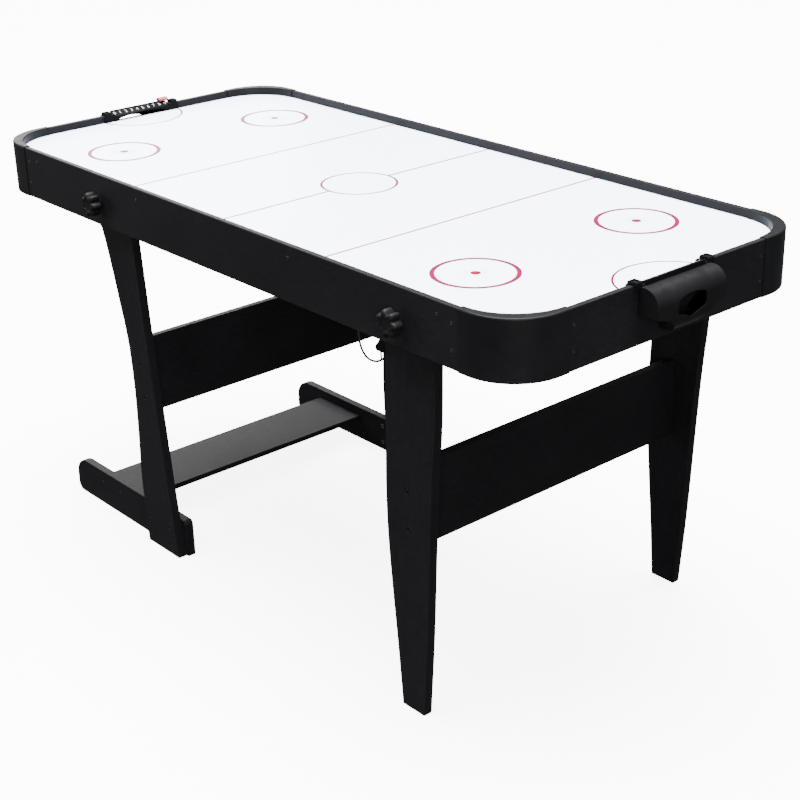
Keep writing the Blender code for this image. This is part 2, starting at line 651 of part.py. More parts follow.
def star_outline(r_out, r_in, lobes, per=8):
    pts = []
    for k in range(lobes * per):
        a = 2 * math.pi * k / (lobes * per)
        wave = 0.5 + 0.5 * math.cos(lobes * a)
        pts.append(((r_in + (r_out - r_in) * wave ** 0.7) * math.cos(a),
                    (r_in + (r_out - r_in) * wave ** 0.7) * math.sin(a)))
    return pts


for end, e in ENDS:
    px = PIVOT_X[end]
    for side, s in SIDES:
        turn = Matrix.Rotation(-s * math.pi / 2, 4, "X")   # +Z -> outward
        # pivot bolt: head inside, shoulder through the leg, tip in the apron
        tip = Y_IN + 0.0079
        bolt = turned("%s_pivot_bolt_%s" % (end, side),
                      [(0, tip), (PIVOT_R, tip), (PIVOT_R, LEG_Y_IN - GAP),
                       (0.0078, LEG_Y_IN - GAP), (0.0078, LEG_Y_IN - 0.0040),
                       (0.0068, LEG_Y_IN - 0.0048), (0, LEG_Y_IN - 0.0048)],
                      "zinc_steel", 14)
        bolt.data.transform(turn)
        bolt.data.transform(Matrix.Translation((px, 0, PIVOT_Z)))

        sx, sz = px + STUD_DX, PIVOT_Z + STUD_DZ
        # clamp nut: a flat plate that the stud screws into
        y0, y1 = sorted((s * (LEG_Y_IN - GAP), s * (LEG_Y_IN - 0.0051)))
        nut = box("%s_clamp_nut_%s" % (end, side), (sx - 0.0095, sx + 0.0110),
                  (y0, y1), (sz - 0.0075, sz + 0.0080), "zinc_steel")
        lo, hi = sorted((s * (LEG_Y_IN + 0.01), s * (LEG_Y_IN - 0.0040)))
        drill(nut, "Y", (sx, sz), STUD_R + GAP, lo, hi, 14)

        # star knob with its threaded stud
        face = TABLE_W / 2 + KNOB_FACE
        back = TABLE_W / 2 + 0.0012
        neck = TABLE_W / 2 + 0.0090
        bm = bmesh.new()
        levels = [(neck, 0.84), (neck + 0.0030, 0.97), (face - 0.0030, 1.0),
                  (face, 0.86)]
        star = star_outline(KNOB_R, 0.0175, 7, 6)
        rings = [[bm.verts.new((x * f, z * f, y)) for x, z in star] for y, f in levels]
        for a, b in zip(rings, rings[1:]):
            for k in range(len(star)):
                j = (k + 1) % len(star)
                bm.faces.new((a[k], a[j], b[j], b[k]))
        bm.faces.new(rings[0][::-1])
        bm.faces.new(rings[-1])
        knob = new_object("%s_knob_%s" % (end, side), bm, "black_moulding", 35)
        stem = turned("knob_stem", [(0, LEG_Y_IN - 0.0034), (STUD_R, LEG_Y_IN - 0.0034),
                                    (STUD_R, back), (0.0105, back), (0.0125, neck + 0.001),
                                    (0, neck + 0.001)], None, 14)
        for part in (knob, stem):
            part.data.transform(turn)
        stem.location = (sx, 0, sz)
        knob.location = (sx, 0, sz)
        combine(knob, stem, "UNION")

# -------------------------------------------------- supply lead and its inlet

LEAD_Z = BASE_Z0 - 0.0058
EXIT_ANGLE = math.radians(-40)
EXIT_R = FAN_R_OUT + GAP
ex, ey = math.cos(EXIT_ANGLE), math.sin(EXIT_ANGLE)
clip_a = Vector((0.130, -0.1096, LEAD_Z))
clip_b = Vector((0.318, -0.2740, LEAD_Z))
along = (clip_b - clip_a).normalized()
route = [
    Vector((EXIT_R * ex, EXIT_R * ey, 0.7150)),
    Vector(((EXIT_R + 0.012) * ex, (EXIT_R + 0.012) * ey, 0.7155)),
    clip_a - along * 0.040 - Vector((0, 0, 0.002)),
    clip_a,
    clip_a + along * 0.060 - Vector((0, 0, 0.0015)),
    clip_a + along * 0.130 - Vector((0, 0, 0.0025)),
    clip_a + along * 0.200 - Vector((0, 0, 0.0015)),
    clip_b,
    Vector((0.3370, -0.2890, 0.7140)),
    Vector((0.3480, -0.2970, 0.6890)),
    Vector((0.3532, -0.3000, 0.6545)),
    Vector((0.3582, -0.3000, 0.6258)),
    Vector((0.3726, -0.3000, 0.6098)),
    Vector((0.3935, -0.3000, 0.6081)),
    Vector((0.4124, -0.3000, 0.6168)),
    Vector((0.4304, -0.3000, 0.6341)),
    Vector((0.4435, -0.3000, 0.6570)),
    Vector((0.4470, -0.3000, 0.6770)),
    Vector((0.4420, -0.3000, 0.6905)),
    Vector((INLET_X1 + 0.0050, -0.3000, 0.6925)),
    Vector((INLET_X1 + 0.0005, -0.3000, 0.6925)),
]
dense = spline(route, 4)


def even(points, step):
    """The same run with points at even spacing."""
    out = [points[0]]
    need = step
    total = sum((b - a).length for a, b in zip(points, points[1:]))
    count = max(2, round(total / step))
    step = total / count
    need = step
    for a, b in zip(points, points[1:]):
        seg = (b - a).length
        while need <= seg + 1e-9 and len(out) < count:
            a = a + (b - a) * (need / seg)
            seg = (b - a).length
            out.append(a.copy())
            need = step
        need -= seg
    out.append(points[-1])
    return out


def tube(name, points, radius, look, resolution=2):
    curve = bpy.data.curves.new(name, "CURVE")
    curve.dimensions = "3D"
    curve.bevel_depth = radius
    curve.bevel_resolution = resolution
    curve.use_fill_caps = True
    line = curve.splines.new("POLY")
    line.points.add(len(points) - 1)
    for p, q in zip(line.points, points):
        p.co = (*q, 1.0)
    obj = bpy.data.objects.new(name, curve)
    bpy.context.scene.collection.objects.link(obj)
    obj.data.materials.append(material(name + "_mat", *LOOKS[look]))
    return obj


tube("fan_lead", even(dense, 0.0113), LEAD_R, "black_rubber")

for name, at in (("lead_clip_inner", clip_a), ("lead_clip_outer", clip_b)):
    w, h = 0.0055, 0.0035
    saddle = ([(-w, BASE_Z0 - GAP), (-w, LEAD_Z - 0.001)]
              + arc(0, LEAD_Z - 0.001, w, 180, 360, 8)[1:-1]
              + [(w, LEAD_Z - 0.001), (w, BASE_Z0 - GAP)])
    clip = prism(name, saddle, "Y", -h, h, "black_moulding", smooth=35)
    bore = prism(name + "_bore", circle(0, LEAD_Z, LEAD_R + 0.0008, 16), "Y", -0.02, 0.02)
    heading = math.atan2(along.y, along.x) - math.pi / 2
    for part in (clip, bore):
        part.data.transform(Matrix.Rotation(heading, 4, "Z"))
        part.location = (at.x, at.y, 0)
    combine(clip, bore)

# inlet box: hangs from the base board beside the near right leg
yi0, yi1 = INLET_Y - 0.009, INLET_Y + 0.009
zb = INLET_BOTTOM
shape = ([(INLET_X0 + 0.003, zb), (INLET_X1 - 0.003, zb), (INLET_X1, zb + 0.0030),
          (INLET_X1, 0.7060), (INLET_X1 - 0.004, 0.7120), (INLET_X1 + 0.006, 0.7255),
          (INLET_X1 + 0.006, BASE_Z0 - GAP), (INLET_X0 - 0.002, BASE_Z0 - GAP),
          (INLET_X0 - 0.002, 0.7255), (INLET_X0 + 0.0115, 0.7120),
          (INLET_X0 + 0.0115, zb + 0.0220), (INLET_X0 + 0.0015, zb + 0.0090),
          (INLET_X0, zb + 0.0060), (INLET_X0, zb + 0.0030)])
inlet = prism("power_inlet_box", shape, "Y", yi0, yi1, "black_moulding", 0.0010)
drill(inlet, "Z", (INLET_X1 - 0.0060, INLET_Y + 0.003), 0.0030, 0.600, zb + 0.010, 16)   # socket

# nylon tie fixed under the box, its tail hanging beside the lead
tail = [(-0.0010, zb - GAP), (0.0010, zb - GAP), (0.0028, zb - 0.0170), (0.0012, zb - 0.0172)]
prism("lead_tie", [(INLET_X0 + 0.0095 + a, b) for a, b in tail], "Y",
      INLET_Y - 0.0068, INLET_Y - 0.0044, "black_moulding")
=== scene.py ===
"""Visual scene of the folding air hockey table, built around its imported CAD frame.

Frame: metres, +Z up, origin on the floor under the middle of the tabletop,
+X towards the straight folding legs, -Y the near long side.
"""
import json
import math

import bmesh
import bpy
from mathutils import Matrix, Vector

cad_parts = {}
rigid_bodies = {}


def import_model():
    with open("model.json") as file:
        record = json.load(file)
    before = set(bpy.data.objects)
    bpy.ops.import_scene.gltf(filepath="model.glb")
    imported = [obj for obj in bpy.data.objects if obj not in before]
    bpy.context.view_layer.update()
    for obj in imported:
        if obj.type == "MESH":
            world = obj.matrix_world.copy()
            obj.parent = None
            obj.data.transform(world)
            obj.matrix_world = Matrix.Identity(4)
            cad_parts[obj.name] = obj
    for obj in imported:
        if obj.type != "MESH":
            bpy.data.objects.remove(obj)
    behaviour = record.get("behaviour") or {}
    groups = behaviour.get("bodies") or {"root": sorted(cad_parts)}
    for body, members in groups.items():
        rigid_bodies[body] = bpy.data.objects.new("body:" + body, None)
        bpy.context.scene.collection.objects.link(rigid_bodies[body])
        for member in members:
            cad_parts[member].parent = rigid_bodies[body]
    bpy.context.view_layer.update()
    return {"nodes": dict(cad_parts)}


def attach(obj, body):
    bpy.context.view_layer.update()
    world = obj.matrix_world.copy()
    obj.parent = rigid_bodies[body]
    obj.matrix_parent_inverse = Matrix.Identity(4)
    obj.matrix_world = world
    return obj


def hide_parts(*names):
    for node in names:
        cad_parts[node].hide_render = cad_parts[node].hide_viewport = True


for old in list(bpy.data.objects):
    bpy.data.objects.remove(old, do_unlink=True)

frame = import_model()
NODES = frame["nodes"]

SIDES = (("near", -1), ("far", 1))
ENDS = (("left", -1), ("right", 1))

# ------------------------------------------------------------------- camera


def camera_at(place, yaw, pitch, roll, lens):
    fwd = Vector((-math.sin(yaw) * math.cos(pitch), math.cos(yaw) * math.cos(pitch),
                  math.sin(pitch)))
    right = fwd.cross(Vector((0, 0, 1))).normalized()
    up = right.cross(fwd)
    r = right * math.cos(roll) + up * math.sin(roll)
    u = -right * math.sin(roll) + up * math.cos(roll)
    cam = bpy.data.objects.new("camera", bpy.data.cameras.new("camera"))
    bpy.context.scene.collection.objects.link(cam)
    turn = Matrix((r, u, -fwd)).transposed().to_4x4()
    cam.matrix_world = Matrix.Translation(Vector(place)) @ turn
    cam.data.sensor_width = 36.0
    cam.data.lens = lens
    cam.data.clip_start = 0.05
    cam.data.clip_end = 100
    bpy.context.scene.camera = cam
    return cam


camera_at((2.28017, -1.85231, 1.62251), math.radians(49.6146),
          math.radians(-23.95695), math.radians(-1.4522), 72.2992)

# ---------------------------------------------------------------- dimensions
# The same driving sizes as the CAD frame.
TABLE_L, TABLE_W = 1.530, 0.696
RAIL_TOP, APRON_H, APRON_T = 0.782, 0.102, 0.011
APRON_BOTTOM = RAIL_TOP - APRON_H
PLAY_Z, PLAY_T = 0.767, 0.009
GAP = 0.0003
CORNER_R, CORNER_PROUD, CORNER_LIP, CORNER_SQUARE = 0.117, 0.0015, 0.0022, 0.021
X_IN, Y_IN = TABLE_L / 2 - APRON_T, TABLE_W / 2 - APRON_T
X_SEAM, Y_SEAM = TABLE_L / 2 - CORNER_R, TABLE_W / 2 - CORNER_R
LEG_Y_OUT = Y_IN - 0.001
LEG_T = 0.0175
LEG_Y_IN = LEG_Y_OUT - LEG_T
PIVOT_Z = 0.7095
PIVOT_X = {"left": -0.386, "right": 0.492}
HEAD_R = 0.038
STUD_DX, STUD_DZ, STUD_R, SLOT_HALF, PIVOT_R = 0.022, 0.0175, 0.004, 0.0046, 0.004
KNOB_R, KNOB_FACE = 0.0240, 0.030
FOOT_H = 0.080
FOOT_Y_OUT = LEG_Y_IN - GAP
FOOT_Y_IN = FOOT_Y_OUT - 0.018
FOOT_X0, FOOT_X1 = -0.636, -0.205
CROSS_T, CROSS_H, CROSS_Y = 0.018, 0.152, LEG_Y_IN - GAP
RIGHT_CROSS_X, RIGHT_CROSS_Z = 0.510, 0.393
LEFT_CROSS_X, LEFT_CROSS_Z, LEFT_LEAN = -0.2885, 0.3840, 0.0986
BASE_Z0, BASE_Z1 = 0.730, 0.736
FAN_R_OUT, FAN_R_IN, FAN_Z0 = 0.062, 0.0595, 0.6680
FAN_Z1 = BASE_Z0 - GAP
GOAL_HALF, GOAL_OUT, GOAL_TOP, GOAL_BOTTOM, GOAL_WALL = 0.082, 0.8065, 0.7795, 0.697, 0.0025
# half outline of the shoulders under the goal box, (y, z)
GOAL_SHOULDER = [(0.0818, 0.7330), (0.0714, 0.7305), (0.0620, 0.7283), (0.0524, 0.7241),
                 (0.0450, 0.7187), (0.0380, 0.7125), (0.0320, 0.7060), (0.0285, 0.6970)]
# half outline of the hole for taking the puck out, (y, z)
GOAL_HOLE = [(0.0, 0.7605), (0.0160, 0.7590), (0.0312, 0.7537), (0.0330, 0.7430),
             (0.0318, 0.7318), (0.0120, 0.7250), (0.0, 0.7205)]
MOUTH_HALF, MOUTH_TOP, NOTCH_HALF, FLANGE_HALF = 0.064, 0.7768, 0.0705, 0.0960
HOOK_Y0, HOOK_Y1, HOOK_TOP = 0.0780, 0.0925, 0.7885
SCORER_TOP, SLIDER_Y, DIGIT_PITCH = 0.7875, 0.064, 0.0145
LEAD_R = 0.0019
INLET_X0, INLET_X1, INLET_Y, INLET_BOTTOM = 0.4070, 0.4305, -0.300, 0.6350

# ------------------------------------------------------------- shape helpers


def to_axes(axis, a, b, h):
    return {"X": (h, a, b), "Y": (a, h, b), "Z": (a, b, h)}[axis]


def rect(a0, a1, b0, b1):
    return [(a0, b0), (a1, b0), (a1, b1), (a0, b1)]


def circle(cx, cy, r, n=32, start=0.0):
    return [(cx + r * math.cos(start + 2 * math.pi * k / n),
             cy + r * math.sin(start + 2 * math.pi * k / n)) for k in range(n)]


def arc(cx, cy, r, a0, a1, n):
    return [(cx + r * math.cos(math.radians(a0 + (a1 - a0) * k / n)),
             cy + r * math.sin(math.radians(a0 + (a1 - a0) * k / n)))
            for k in range(n + 1)]


def spline(points, per=4):
    pts = [Vector(p) for p in points]
    pts = [2 * pts[0] - pts[1]] + pts + [2 * pts[-1] - pts[-2]]
    run = []
    for i in range(1, len(pts) - 2):
        p0, p1, p2, p3 = pts[i - 1], pts[i], pts[i + 1], pts[i + 2]
        for k in range(per):
            t = k / per
            run.append(0.5 * (2 * p1 + (p2 - p0) * t
                              + (2 * p0 - 5 * p1 + 4 * p2 - p3) * t * t
                              + (3 * p1 - p0 - 3 * p2 + p3) * t ** 3))
    run.append(pts[-2])
    return run


def prism_mesh(outline, axis, lo, hi):
    bm = bmesh.new()
    low = [bm.verts.new(to_axes(axis, a, b, lo)) for a, b in outline]
    face = bm.faces.new(low)
    out = bmesh.ops.extrude_face_region(bm, geom=[face])
    move = Vector(to_axes(axis, 0.0, 0.0, hi - lo))
    bmesh.ops.translate(bm, vec=move, verts=[g for g in out["geom"]
                                             if isinstance(g, bmesh.types.BMVert)])
    bmesh.ops.recalc_face_normals(bm, faces=bm.faces)
    return bm


def rings_mesh(rings, close_ring=True, caps=True):
    """A skin through rings of points; the first and last are capped."""
    bm = bmesh.new()
    made = [[bm.verts.new(p) for p in ring] for ring in rings]
    for a, b in zip(made, made[1:]):
        n = len(a)
        for k in range(n if close_ring else n - 1):
            j = (k + 1) % n
            bm.faces.new((a[k], a[j], b[j], b[k]))
    if caps:
        bm.faces.new(made[0][::-1])
        bm.faces.new(made[-1])
    bmesh.ops.recalc_face_normals(bm, faces=bm.faces)
    return bm


def turned_mesh(profile, segments=48, closed=False):
    """A solid of revolution about +Z; closed profiles make a ring."""
    bm = bmesh.new()
    rings = []
    for r, z in profile:
        if r < 1e-9:
            rings.append([bm.verts.new((0, 0, z))])
        else:
            rings.append([bm.verts.new((r * math.cos(2 * math.pi * k / segments),
                                        r * math.sin(2 * math.pi * k / segments), z))
                          for k in range(segments)])
    pairs = list(zip(rings, rings[1:]))
    if closed:
        pairs.append((rings[-1], rings[0]))
    for a, b in pairs:
        for k in range(segments):
            j = (k + 1) % segments
            if len(a) == 1 and len(b) == 1:
                continue
            if len(a) == 1:
                bm.faces.new((a[0], b[k], b[j]))
            elif len(b) == 1:
                bm.faces.new((a[k], a[j], b[0]))
            else:
                bm.faces.new((a[k], a[j], b[j], b[k]))
    bmesh.ops.recalc_face_normals(bm, faces=bm.faces)
    return bm


def add(name, bm, smooth=30):
    mesh = bpy.data.meshes.new(name)
    bm.to_mesh(mesh)
    bm.free()
    obj = bpy.data.objects.new(name, mesh)
    bpy.context.scene.collection.objects.link(obj)
    mesh.shade_smooth()
    mesh.set_sharp_from_angle(angle=math.radians(smooth))
    return obj


def prism(name, outline, axis, lo, hi):
    return add(name, prism_mesh(outline, axis, lo, hi))


def box(name, x, y, z):
    return prism(name, rect(x[0], x[1], y[0], y[1]), "Z", z[0], z[1])


def cut(obj, tool, how="DIFFERENCE"):
    mod = obj.modifiers.new(how.lower(), "BOOLEAN")
    mod.operation = how
    mod.solver = "EXACT"
    mod.object = tool
    tool.hide_render = True
    tool.hide_viewport = False
    TOOLS.append(tool)


def drill(obj, axis, centre, r, lo, hi, n=28):
    cut(obj, prism("t_" + obj.name, circle(centre[0], centre[1], r, n), axis, lo, hi))


TOOLS = []


def fixed(obj, bevel=0.0, segments=2, angle=40, smooth=30):
    """Runs the modifiers, adds eased edges, and leaves a plain mesh."""
    if bevel:
        mod = obj.modifiers.new("eased", "BEVEL")
        mod.width = bevel
        mod.segments = segments
        mod.limit_method = "ANGLE"
        mod.angle_limit = math.radians(angle)
        mod.use_clamp_overlap = True
        mod.harden_normals = False
    bpy.context.view_layer.update()
    mesh = bpy.data.meshes.new_from_object(
        obj.evaluated_get(bpy.context.evaluated_depsgraph_get()))
    obj.modifiers.clear()
    obj.data = mesh
    mesh.shade_smooth()
    mesh.set_sharp_from_angle(angle=math.radians(smooth))
    even = obj.modifiers.new("even", "WEIGHTED_NORMAL")   # flat faces stay flat
    even.mode = "FACE_AREA"
    even.weight = 100
    even.keep_sharp = True
    bpy.context.view_layer.update()
    obj.data = bpy.data.meshes.new_from_object(
        obj.evaluated_get(bpy.context.evaluated_depsgraph_get()))
    obj.modifiers.clear()
    for tool in TOOLS:
        bpy.data.objects.remove(tool, do_unlink=True)
    TOOLS.clear()
    return obj


def joined(name, meshes):
    """One object from (mesh, matrix) pairs."""
    bm = bmesh.new()
    for mesh, place in meshes:
        part = mesh.copy()
        part.transform(place)
        bm.from_mesh(part)
        bpy.data.meshes.remove(part)
    return add(name, bm, 35)


def ready(obj, mat, body, slot, *nodes):
    obj.data.materials.clear()
    obj.data.materials.append(mat)
    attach(obj, body)
    if nodes:
        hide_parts(*nodes)
    return obj


# ---------------------------------------------------------------- materials


class Look:
    """A material with a small chain of procedural nodes in object space."""

    def __init__(self, name, stretch=(1, 1, 1)):
        self.mat = bpy.data.materials.new(name)
        self.mat.use_nodes = True
        self.tree = self.mat.node_tree
        self.bsdf = self.tree.nodes["Principled BSDF"]
        coord = self.node("ShaderNodeTexCoord")
        mapping = self.node("ShaderNodeMapping")
        mapping.inputs["Scale"].default_value = stretch
        self.link(coord.outputs["Object"], mapping.inputs["Vector"])
        self.space = mapping.outputs["Vector"]
        self.plain = coord.outputs["Object"]
        self.normal = None

    def node(self, kind, **props):
        made = self.tree.nodes.new(kind)
        for key, value in props.items():
            setattr(made, key, value)
        return made

    def link(self, a, b):
        self.tree.links.new(a, b)

    def put(self, **values):
        for key, value in values.items():
            sock = self.bsdf.inputs[key.replace("_", " ")]
            sock.default_value = value
        return self

    def noise(self, scale, detail=3.0, rough=0.55, plain=False):
        made = self.node("ShaderNodeTexNoise")
        made.inputs["Scale"].default_value = scale
        made.inputs["Detail"].default_value = detail
        made.inputs["Roughness"].default_value = rough
        self.link(self.plain if plain else self.space, made.inputs["Vector"])
        return made.outputs["Fac"]

    def cells(self, scale, feature="F1"):
        made = self.node("ShaderNodeTexVoronoi", feature=feature)
        made.inputs["Scale"].default_value = scale
        self.link(self.space, made.inputs["Vector"])
        return made.outputs["Distance"]

    def ramp(self, fac, *stops):
        made = self.node("ShaderNodeValToRGB")
        ramp = made.color_ramp
        while len(ramp.elements) < len(stops):
            ramp.elements.new(0.5)
        for element, (at, colour) in zip(ramp.elements, stops):
            element.position = at
            if not hasattr(colour, "__len__"):
                colour = (colour,) * 3
            element.color = (*colour, 1.0)
        self.link(fac, made.inputs["Fac"])
        return made.outputs["Color"]

    def span(self, fac, lo, hi):
        made = self.node("ShaderNodeMapRange")
        made.inputs["From Min"].default_value = 0.3
        made.inputs["From Max"].default_value = 0.7
        made.inputs["To Min"].default_value = lo
        made.inputs["To Max"].default_value = hi
        self.link(fac, made.inputs["Value"])
        return made.outputs["Result"]

    def blend(self, fac, a, b, how="MIX"):
        made = self.node("ShaderNodeMix", data_type="RGBA", blend_type=how)
        for sock, value in ((made.inputs[6], a), (made.inputs[7], b)):
            if hasattr(value, "is_linked"):
                self.link(value, sock)
            else:
                sock.default_value = (*value, 1.0)
        if hasattr(fac, "is_linked"):
            self.link(fac, made.inputs[0])
        else:
            made.inputs[0].default_value = fac
        return made.outputs[2]

    def colour(self, sock):
        self.link(sock, self.bsdf.inputs["Base Color"])
        return self

    def rough(self, sock):
        self.link(sock, self.bsdf.inputs["Roughness"])
        return self

    def bump(self, height, strength, distance):
        made = self.node("ShaderNodeBump")
        made.inputs["Strength"].default_value = strength
        made.inputs["Distance"].default_value = distance
        self.link(height, made.inputs["Height"])
        if self.normal:
            self.link(self.normal, made.inputs["Normal"])
        self.normal = made.outputs["Normal"]
        self.link(self.normal, self.bsdf.inputs["Normal"])
        return self


def laminate(name, along, tone=(0.0046, 0.0043, 0.0050), sheen=0.05):
    """Satin black foil on board, with a fine grain along the board."""
    stretch = {"X": (0.10, 1, 1), "Y": (1, 0.10, 1), "Z": (1, 1, 0.10)}[along]
    look = Look(name, stretch)
    broad = look.noise(5.0, 2.0, plain=True)
    grain = look.noise(520.0, 4.0, 0.62)
    pores = look.noise(1500.0, 2.0, plain=True)
    base = look.ramp(broad, (0.35, [c * 0.86 for c in tone]), (0.65, [c * 1.16 for c in tone]))
    fleck = look.ramp(grain, (0.42, (0.0, 0.0, 0.0)), (0.72, [c * 0.55 for c in tone]))
    look.colour(look.blend(1.0, base, fleck, "ADD"))
    look.rough(look.span(grain, 0.36, 0.50))
    look.bump(grain, 0.16, 0.00012)
    look.bump(pores, 0.10, 0.00006)
    look.put(Specular_IOR_Level=sheen)
    return look.mat


def moulded(name, tone, rough=(0.36, 0.46), sheen=0.34, scale=1100.0, depth=0.12):
    """Injection-moulded plastic with a fine spark-eroded texture."""
    look = Look(name)
    broad = look.noise(14.0, 3.0)
    sand = look.noise(scale, 2.0, 0.7)
    flow = look.noise(60.0, 2.0)
    look.colour(look.ramp(broad, (0.36, [c * 0.85 for c in tone]),
                          (0.66, [c * 1.15 for c in tone])))
    look.rough(look.span(flow, *rough))
    look.bump(sand, depth, 0.00008)
    look.put(Specular_IOR_Level=sheen)
    return look.mat


def steel(name, tone, rough=(0.24, 0.40), metal=1.0):
    look = Look(name)
    cloud = look.noise(90.0, 4.0)
    fine = look.noise(1600.0, 2.0)
    look.colour(look.ramp(cloud, (0.34, [c * 0.82 for c in tone]),
                          (0.68, [min(1, c * 1.12) for c in tone])))
    look.rough(look.span(fine, *rough))
    look.bump(fine, 0.10, 0.00005)
    look.put(Metallic=metal)
    return look.mat


def fibreboard(name):
    look = Look(name, (1, 0.25, 1))
    fibre = look.noise(420.0, 5.0, 0.7)
    cloud = look.noise(16.0, 3.0, plain=True)
    chips = look.cells(260.0)
    base = look.ramp(fibre, (0.30, (0.25, 0.165, 0.098)), (0.52, (0.36, 0.250, 0.155)),
                     (0.74, (0.47, 0.345, 0.225)))
    tint = look.ramp(cloud, (0.3, (0.82, 0.80, 0.78)), (0.7, (1.0, 1.0, 1.0)))
    look.colour(look.blend(1.0, base, tint, "MULTIPLY"))
    look.rough(look.span(fibre, 0.72, 0.88))
    look.bump(fibre, 0.30, 0.0002)
    look.bump(chips, 0.12, 0.0002)
    look.put(Specular_IOR_Level=0.25)
    return look.mat


def playfield_look(name):
    """White coated board; a grid of dark dots of painted shade stands in for its fine air holes."""
    look = Look(name)
    cloud = look.noise(9.0, 2.0)
    skin = look.noise(700.0, 2.0)
    white = look.ramp(cloud, (0.3, (0.700, 0.790, 0.930)), (0.7, (0.720, 0.805, 0.945)))
    # distance to the nearest point of a 25.4 mm grid
    split = look.node("ShaderNodeSeparateXYZ")
    look.link(look.plain, split.inputs["Vector"])
    legs = []
    for axis in ("X", "Y"):
        scaled = look.node("ShaderNodeMath", operation="MULTIPLY")
        scaled.inputs[1].default_value = 1 / 0.0254
        look.link(split.outputs[axis], scaled.inputs[0])
        shift = look.node("ShaderNodeMath", operation="ADD")
        shift.inputs[1].default_value = 100.5
        look.link(scaled.outputs[0], shift.inputs[0])
        frac = look.node("ShaderNodeMath", operation="FRACT")
        look.link(shift.outputs[0], frac.inputs[0])
        off = look.node("ShaderNodeMath", operation="SUBTRACT")
        off.inputs[1].default_value = 0.5
        look.link(frac.outputs[0], off.inputs[0])
        legs.append(off.outputs[0])
    join = look.node("ShaderNodeCombineXYZ")
    look.link(legs[0], join.inputs["X"])
    look.link(legs[1], join.inputs["Y"])
    size = look.node("ShaderNodeVectorMath", operation="LENGTH")
    look.link(join.outputs["Vector"], size.inputs[0])
    # Dark dots on the grid are painted shade standing in for the open air holes.
    hole_shade = look.ramp(size.outputs["Value"], (0.016, 1.0), (0.024, 0.0))
    look.colour(look.blend(hole_shade, white, (0.10, 0.10, 0.11)))
    look.rough(look.span(skin, 0.20, 0.30))
    look.bump(skin, 0.05, 0.00004)
    look.put(Specular_IOR_Level=0.45)
    return look.mat


def ink(name, tone, rough=(0.26, 0.36)):
    look = Look(name)
    wear = look.noise(230.0, 4.0, 0.6)
    look.colour(look.ramp(wear, (0.30, [c * 0.90 for c in tone]),
                          (0.70, [min(1, c * 1.08) for c in tone])))
    look.rough(look.span(wear, *rough))
    look.bump(wear, 0.05, 0.00003)
    look.put(Specular_IOR_Level=0.08)
    return look.mat


FOIL_X = laminate("foil_along_x", "X")
FOIL_Y = laminate("foil_along_y", "Y")
FOIL_Z = laminate("foil_along_z", "Z")
CORNER_PLASTIC = moulded("corner_moulding", (0.0044, 0.0044, 0.0049), sheen=0.05)
BLACK_PLASTIC = moulded("black_moulding", (0.0044, 0.0044, 0.0048), (0.30, 0.42), 0.05)
SCORER_PLASTIC = moulded("scorer_moulding", (0.0030, 0.0030, 0.0034), (0.62, 0.74), 0.02)
KNOB_PLASTIC = moulded("knob_moulding", (0.0042, 0.0042, 0.0046), (0.36, 0.46), 0.04, 800.0)
RED_PLASTIC = moulded("red_moulding", (0.16, 0.003, 0.012), (0.24, 0.34), 0.3, 900.0, 0.06)
ZINC = steel("zinc_plate", (0.16, 0.16, 0.165))
BLACK_STEEL = steel("black_steel", (0.018, 0.018, 0.020), (0.30, 0.44), 0.85)
BOARD = fibreboard("raw_board")
PLAY = playfield_look("playfield_coat")
RED_INK = ink("red_ink", (0.100, 0.0022, 0.0185))
CREASE_INK = ink("crease_ink", (0.060, 0.004, 0.013))
WHITE_INK = ink("white_ink", (0.30, 0.30, 0.31), (0.55, 0.65))
LEAD_RUBBER = moulded("lead_sheath", (0.006, 0.006, 0.0065), (0.42, 0.54), 0.15, 600.0, 0.10)

# --------------------------------------------------------------------- lead

LEAD_Z = BASE_Z0 - 0.0058
EXIT_ANGLE = math.radians(-40)
EXIT_R = FAN_R_OUT + GAP
ex, ey = math.cos(EXIT_ANGLE), math.sin(EXIT_ANGLE)
clip_a = Vector((0.130, -0.1096, LEAD_Z))
clip_b = Vector((0.318, -0.2740, LEAD_Z))
along = (clip_b - clip_a).normalized()
route = [
    Vector((EXIT_R * ex, EXIT_R * ey, 0.7150)),
    Vector(((EXIT_R + 0.012) * ex, (EXIT_R + 0.012) * ey, 0.7155)),
    clip_a - along * 0.040 - Vector((0, 0, 0.002)),
    clip_a,
    clip_a + along * 0.060 - Vector((0, 0, 0.0015)),
    clip_a + along * 0.130 - Vector((0, 0, 0.0025)),
    clip_a + along * 0.200 - Vector((0, 0, 0.0015)),
    clip_b,
    Vector((0.3370, -0.2890, 0.7140)),
    Vector((0.3480, -0.2970, 0.6890)),
    Vector((0.3532, -0.3000, 0.6545)),
    Vector((0.3582, -0.3000, 0.6258)),
    Vector((0.3726, -0.3000, 0.6098)),
    Vector((0.3935, -0.3000, 0.6081)),
    Vector((0.4124, -0.3000, 0.6168)),
    Vector((0.4304, -0.3000, 0.6341)),
    Vector((0.4435, -0.3000, 0.6570)),
    Vector((0.4470, -0.3000, 0.6770)),
    Vector((0.4420, -0.3000, 0.6905)),
    Vector((INLET_X1 + 0.0050, -0.3000, 0.6925)),
    Vector((INLET_X1 + 0.0005, -0.3000, 0.6925)),
]


def tube(name, points, radius):
    curve = bpy.data.curves.new(name, "CURVE")
    curve.dimensions = "3D"
    curve.bevel_depth = radius
    curve.bevel_resolution = 5
    curve.use_fill_caps = True
    line = curve.splines.new("POLY")
    line.points.add(len(points) - 1)
    for p, q in zip(line.points, points):
        p.co = (*q, 1.0)
    obj = bpy.data.objects.new(name, curve)
    bpy.context.scene.collection.objects.link(obj)
    return obj


lead_run = spline(route, 8)
lead = tube("lead", lead_run, LEAD_R)
ready(lead, LEAD_RUBBER, "tabletop", "lead_black", "fan_lead")

# ------------------------------------------------------------- screws, bolts


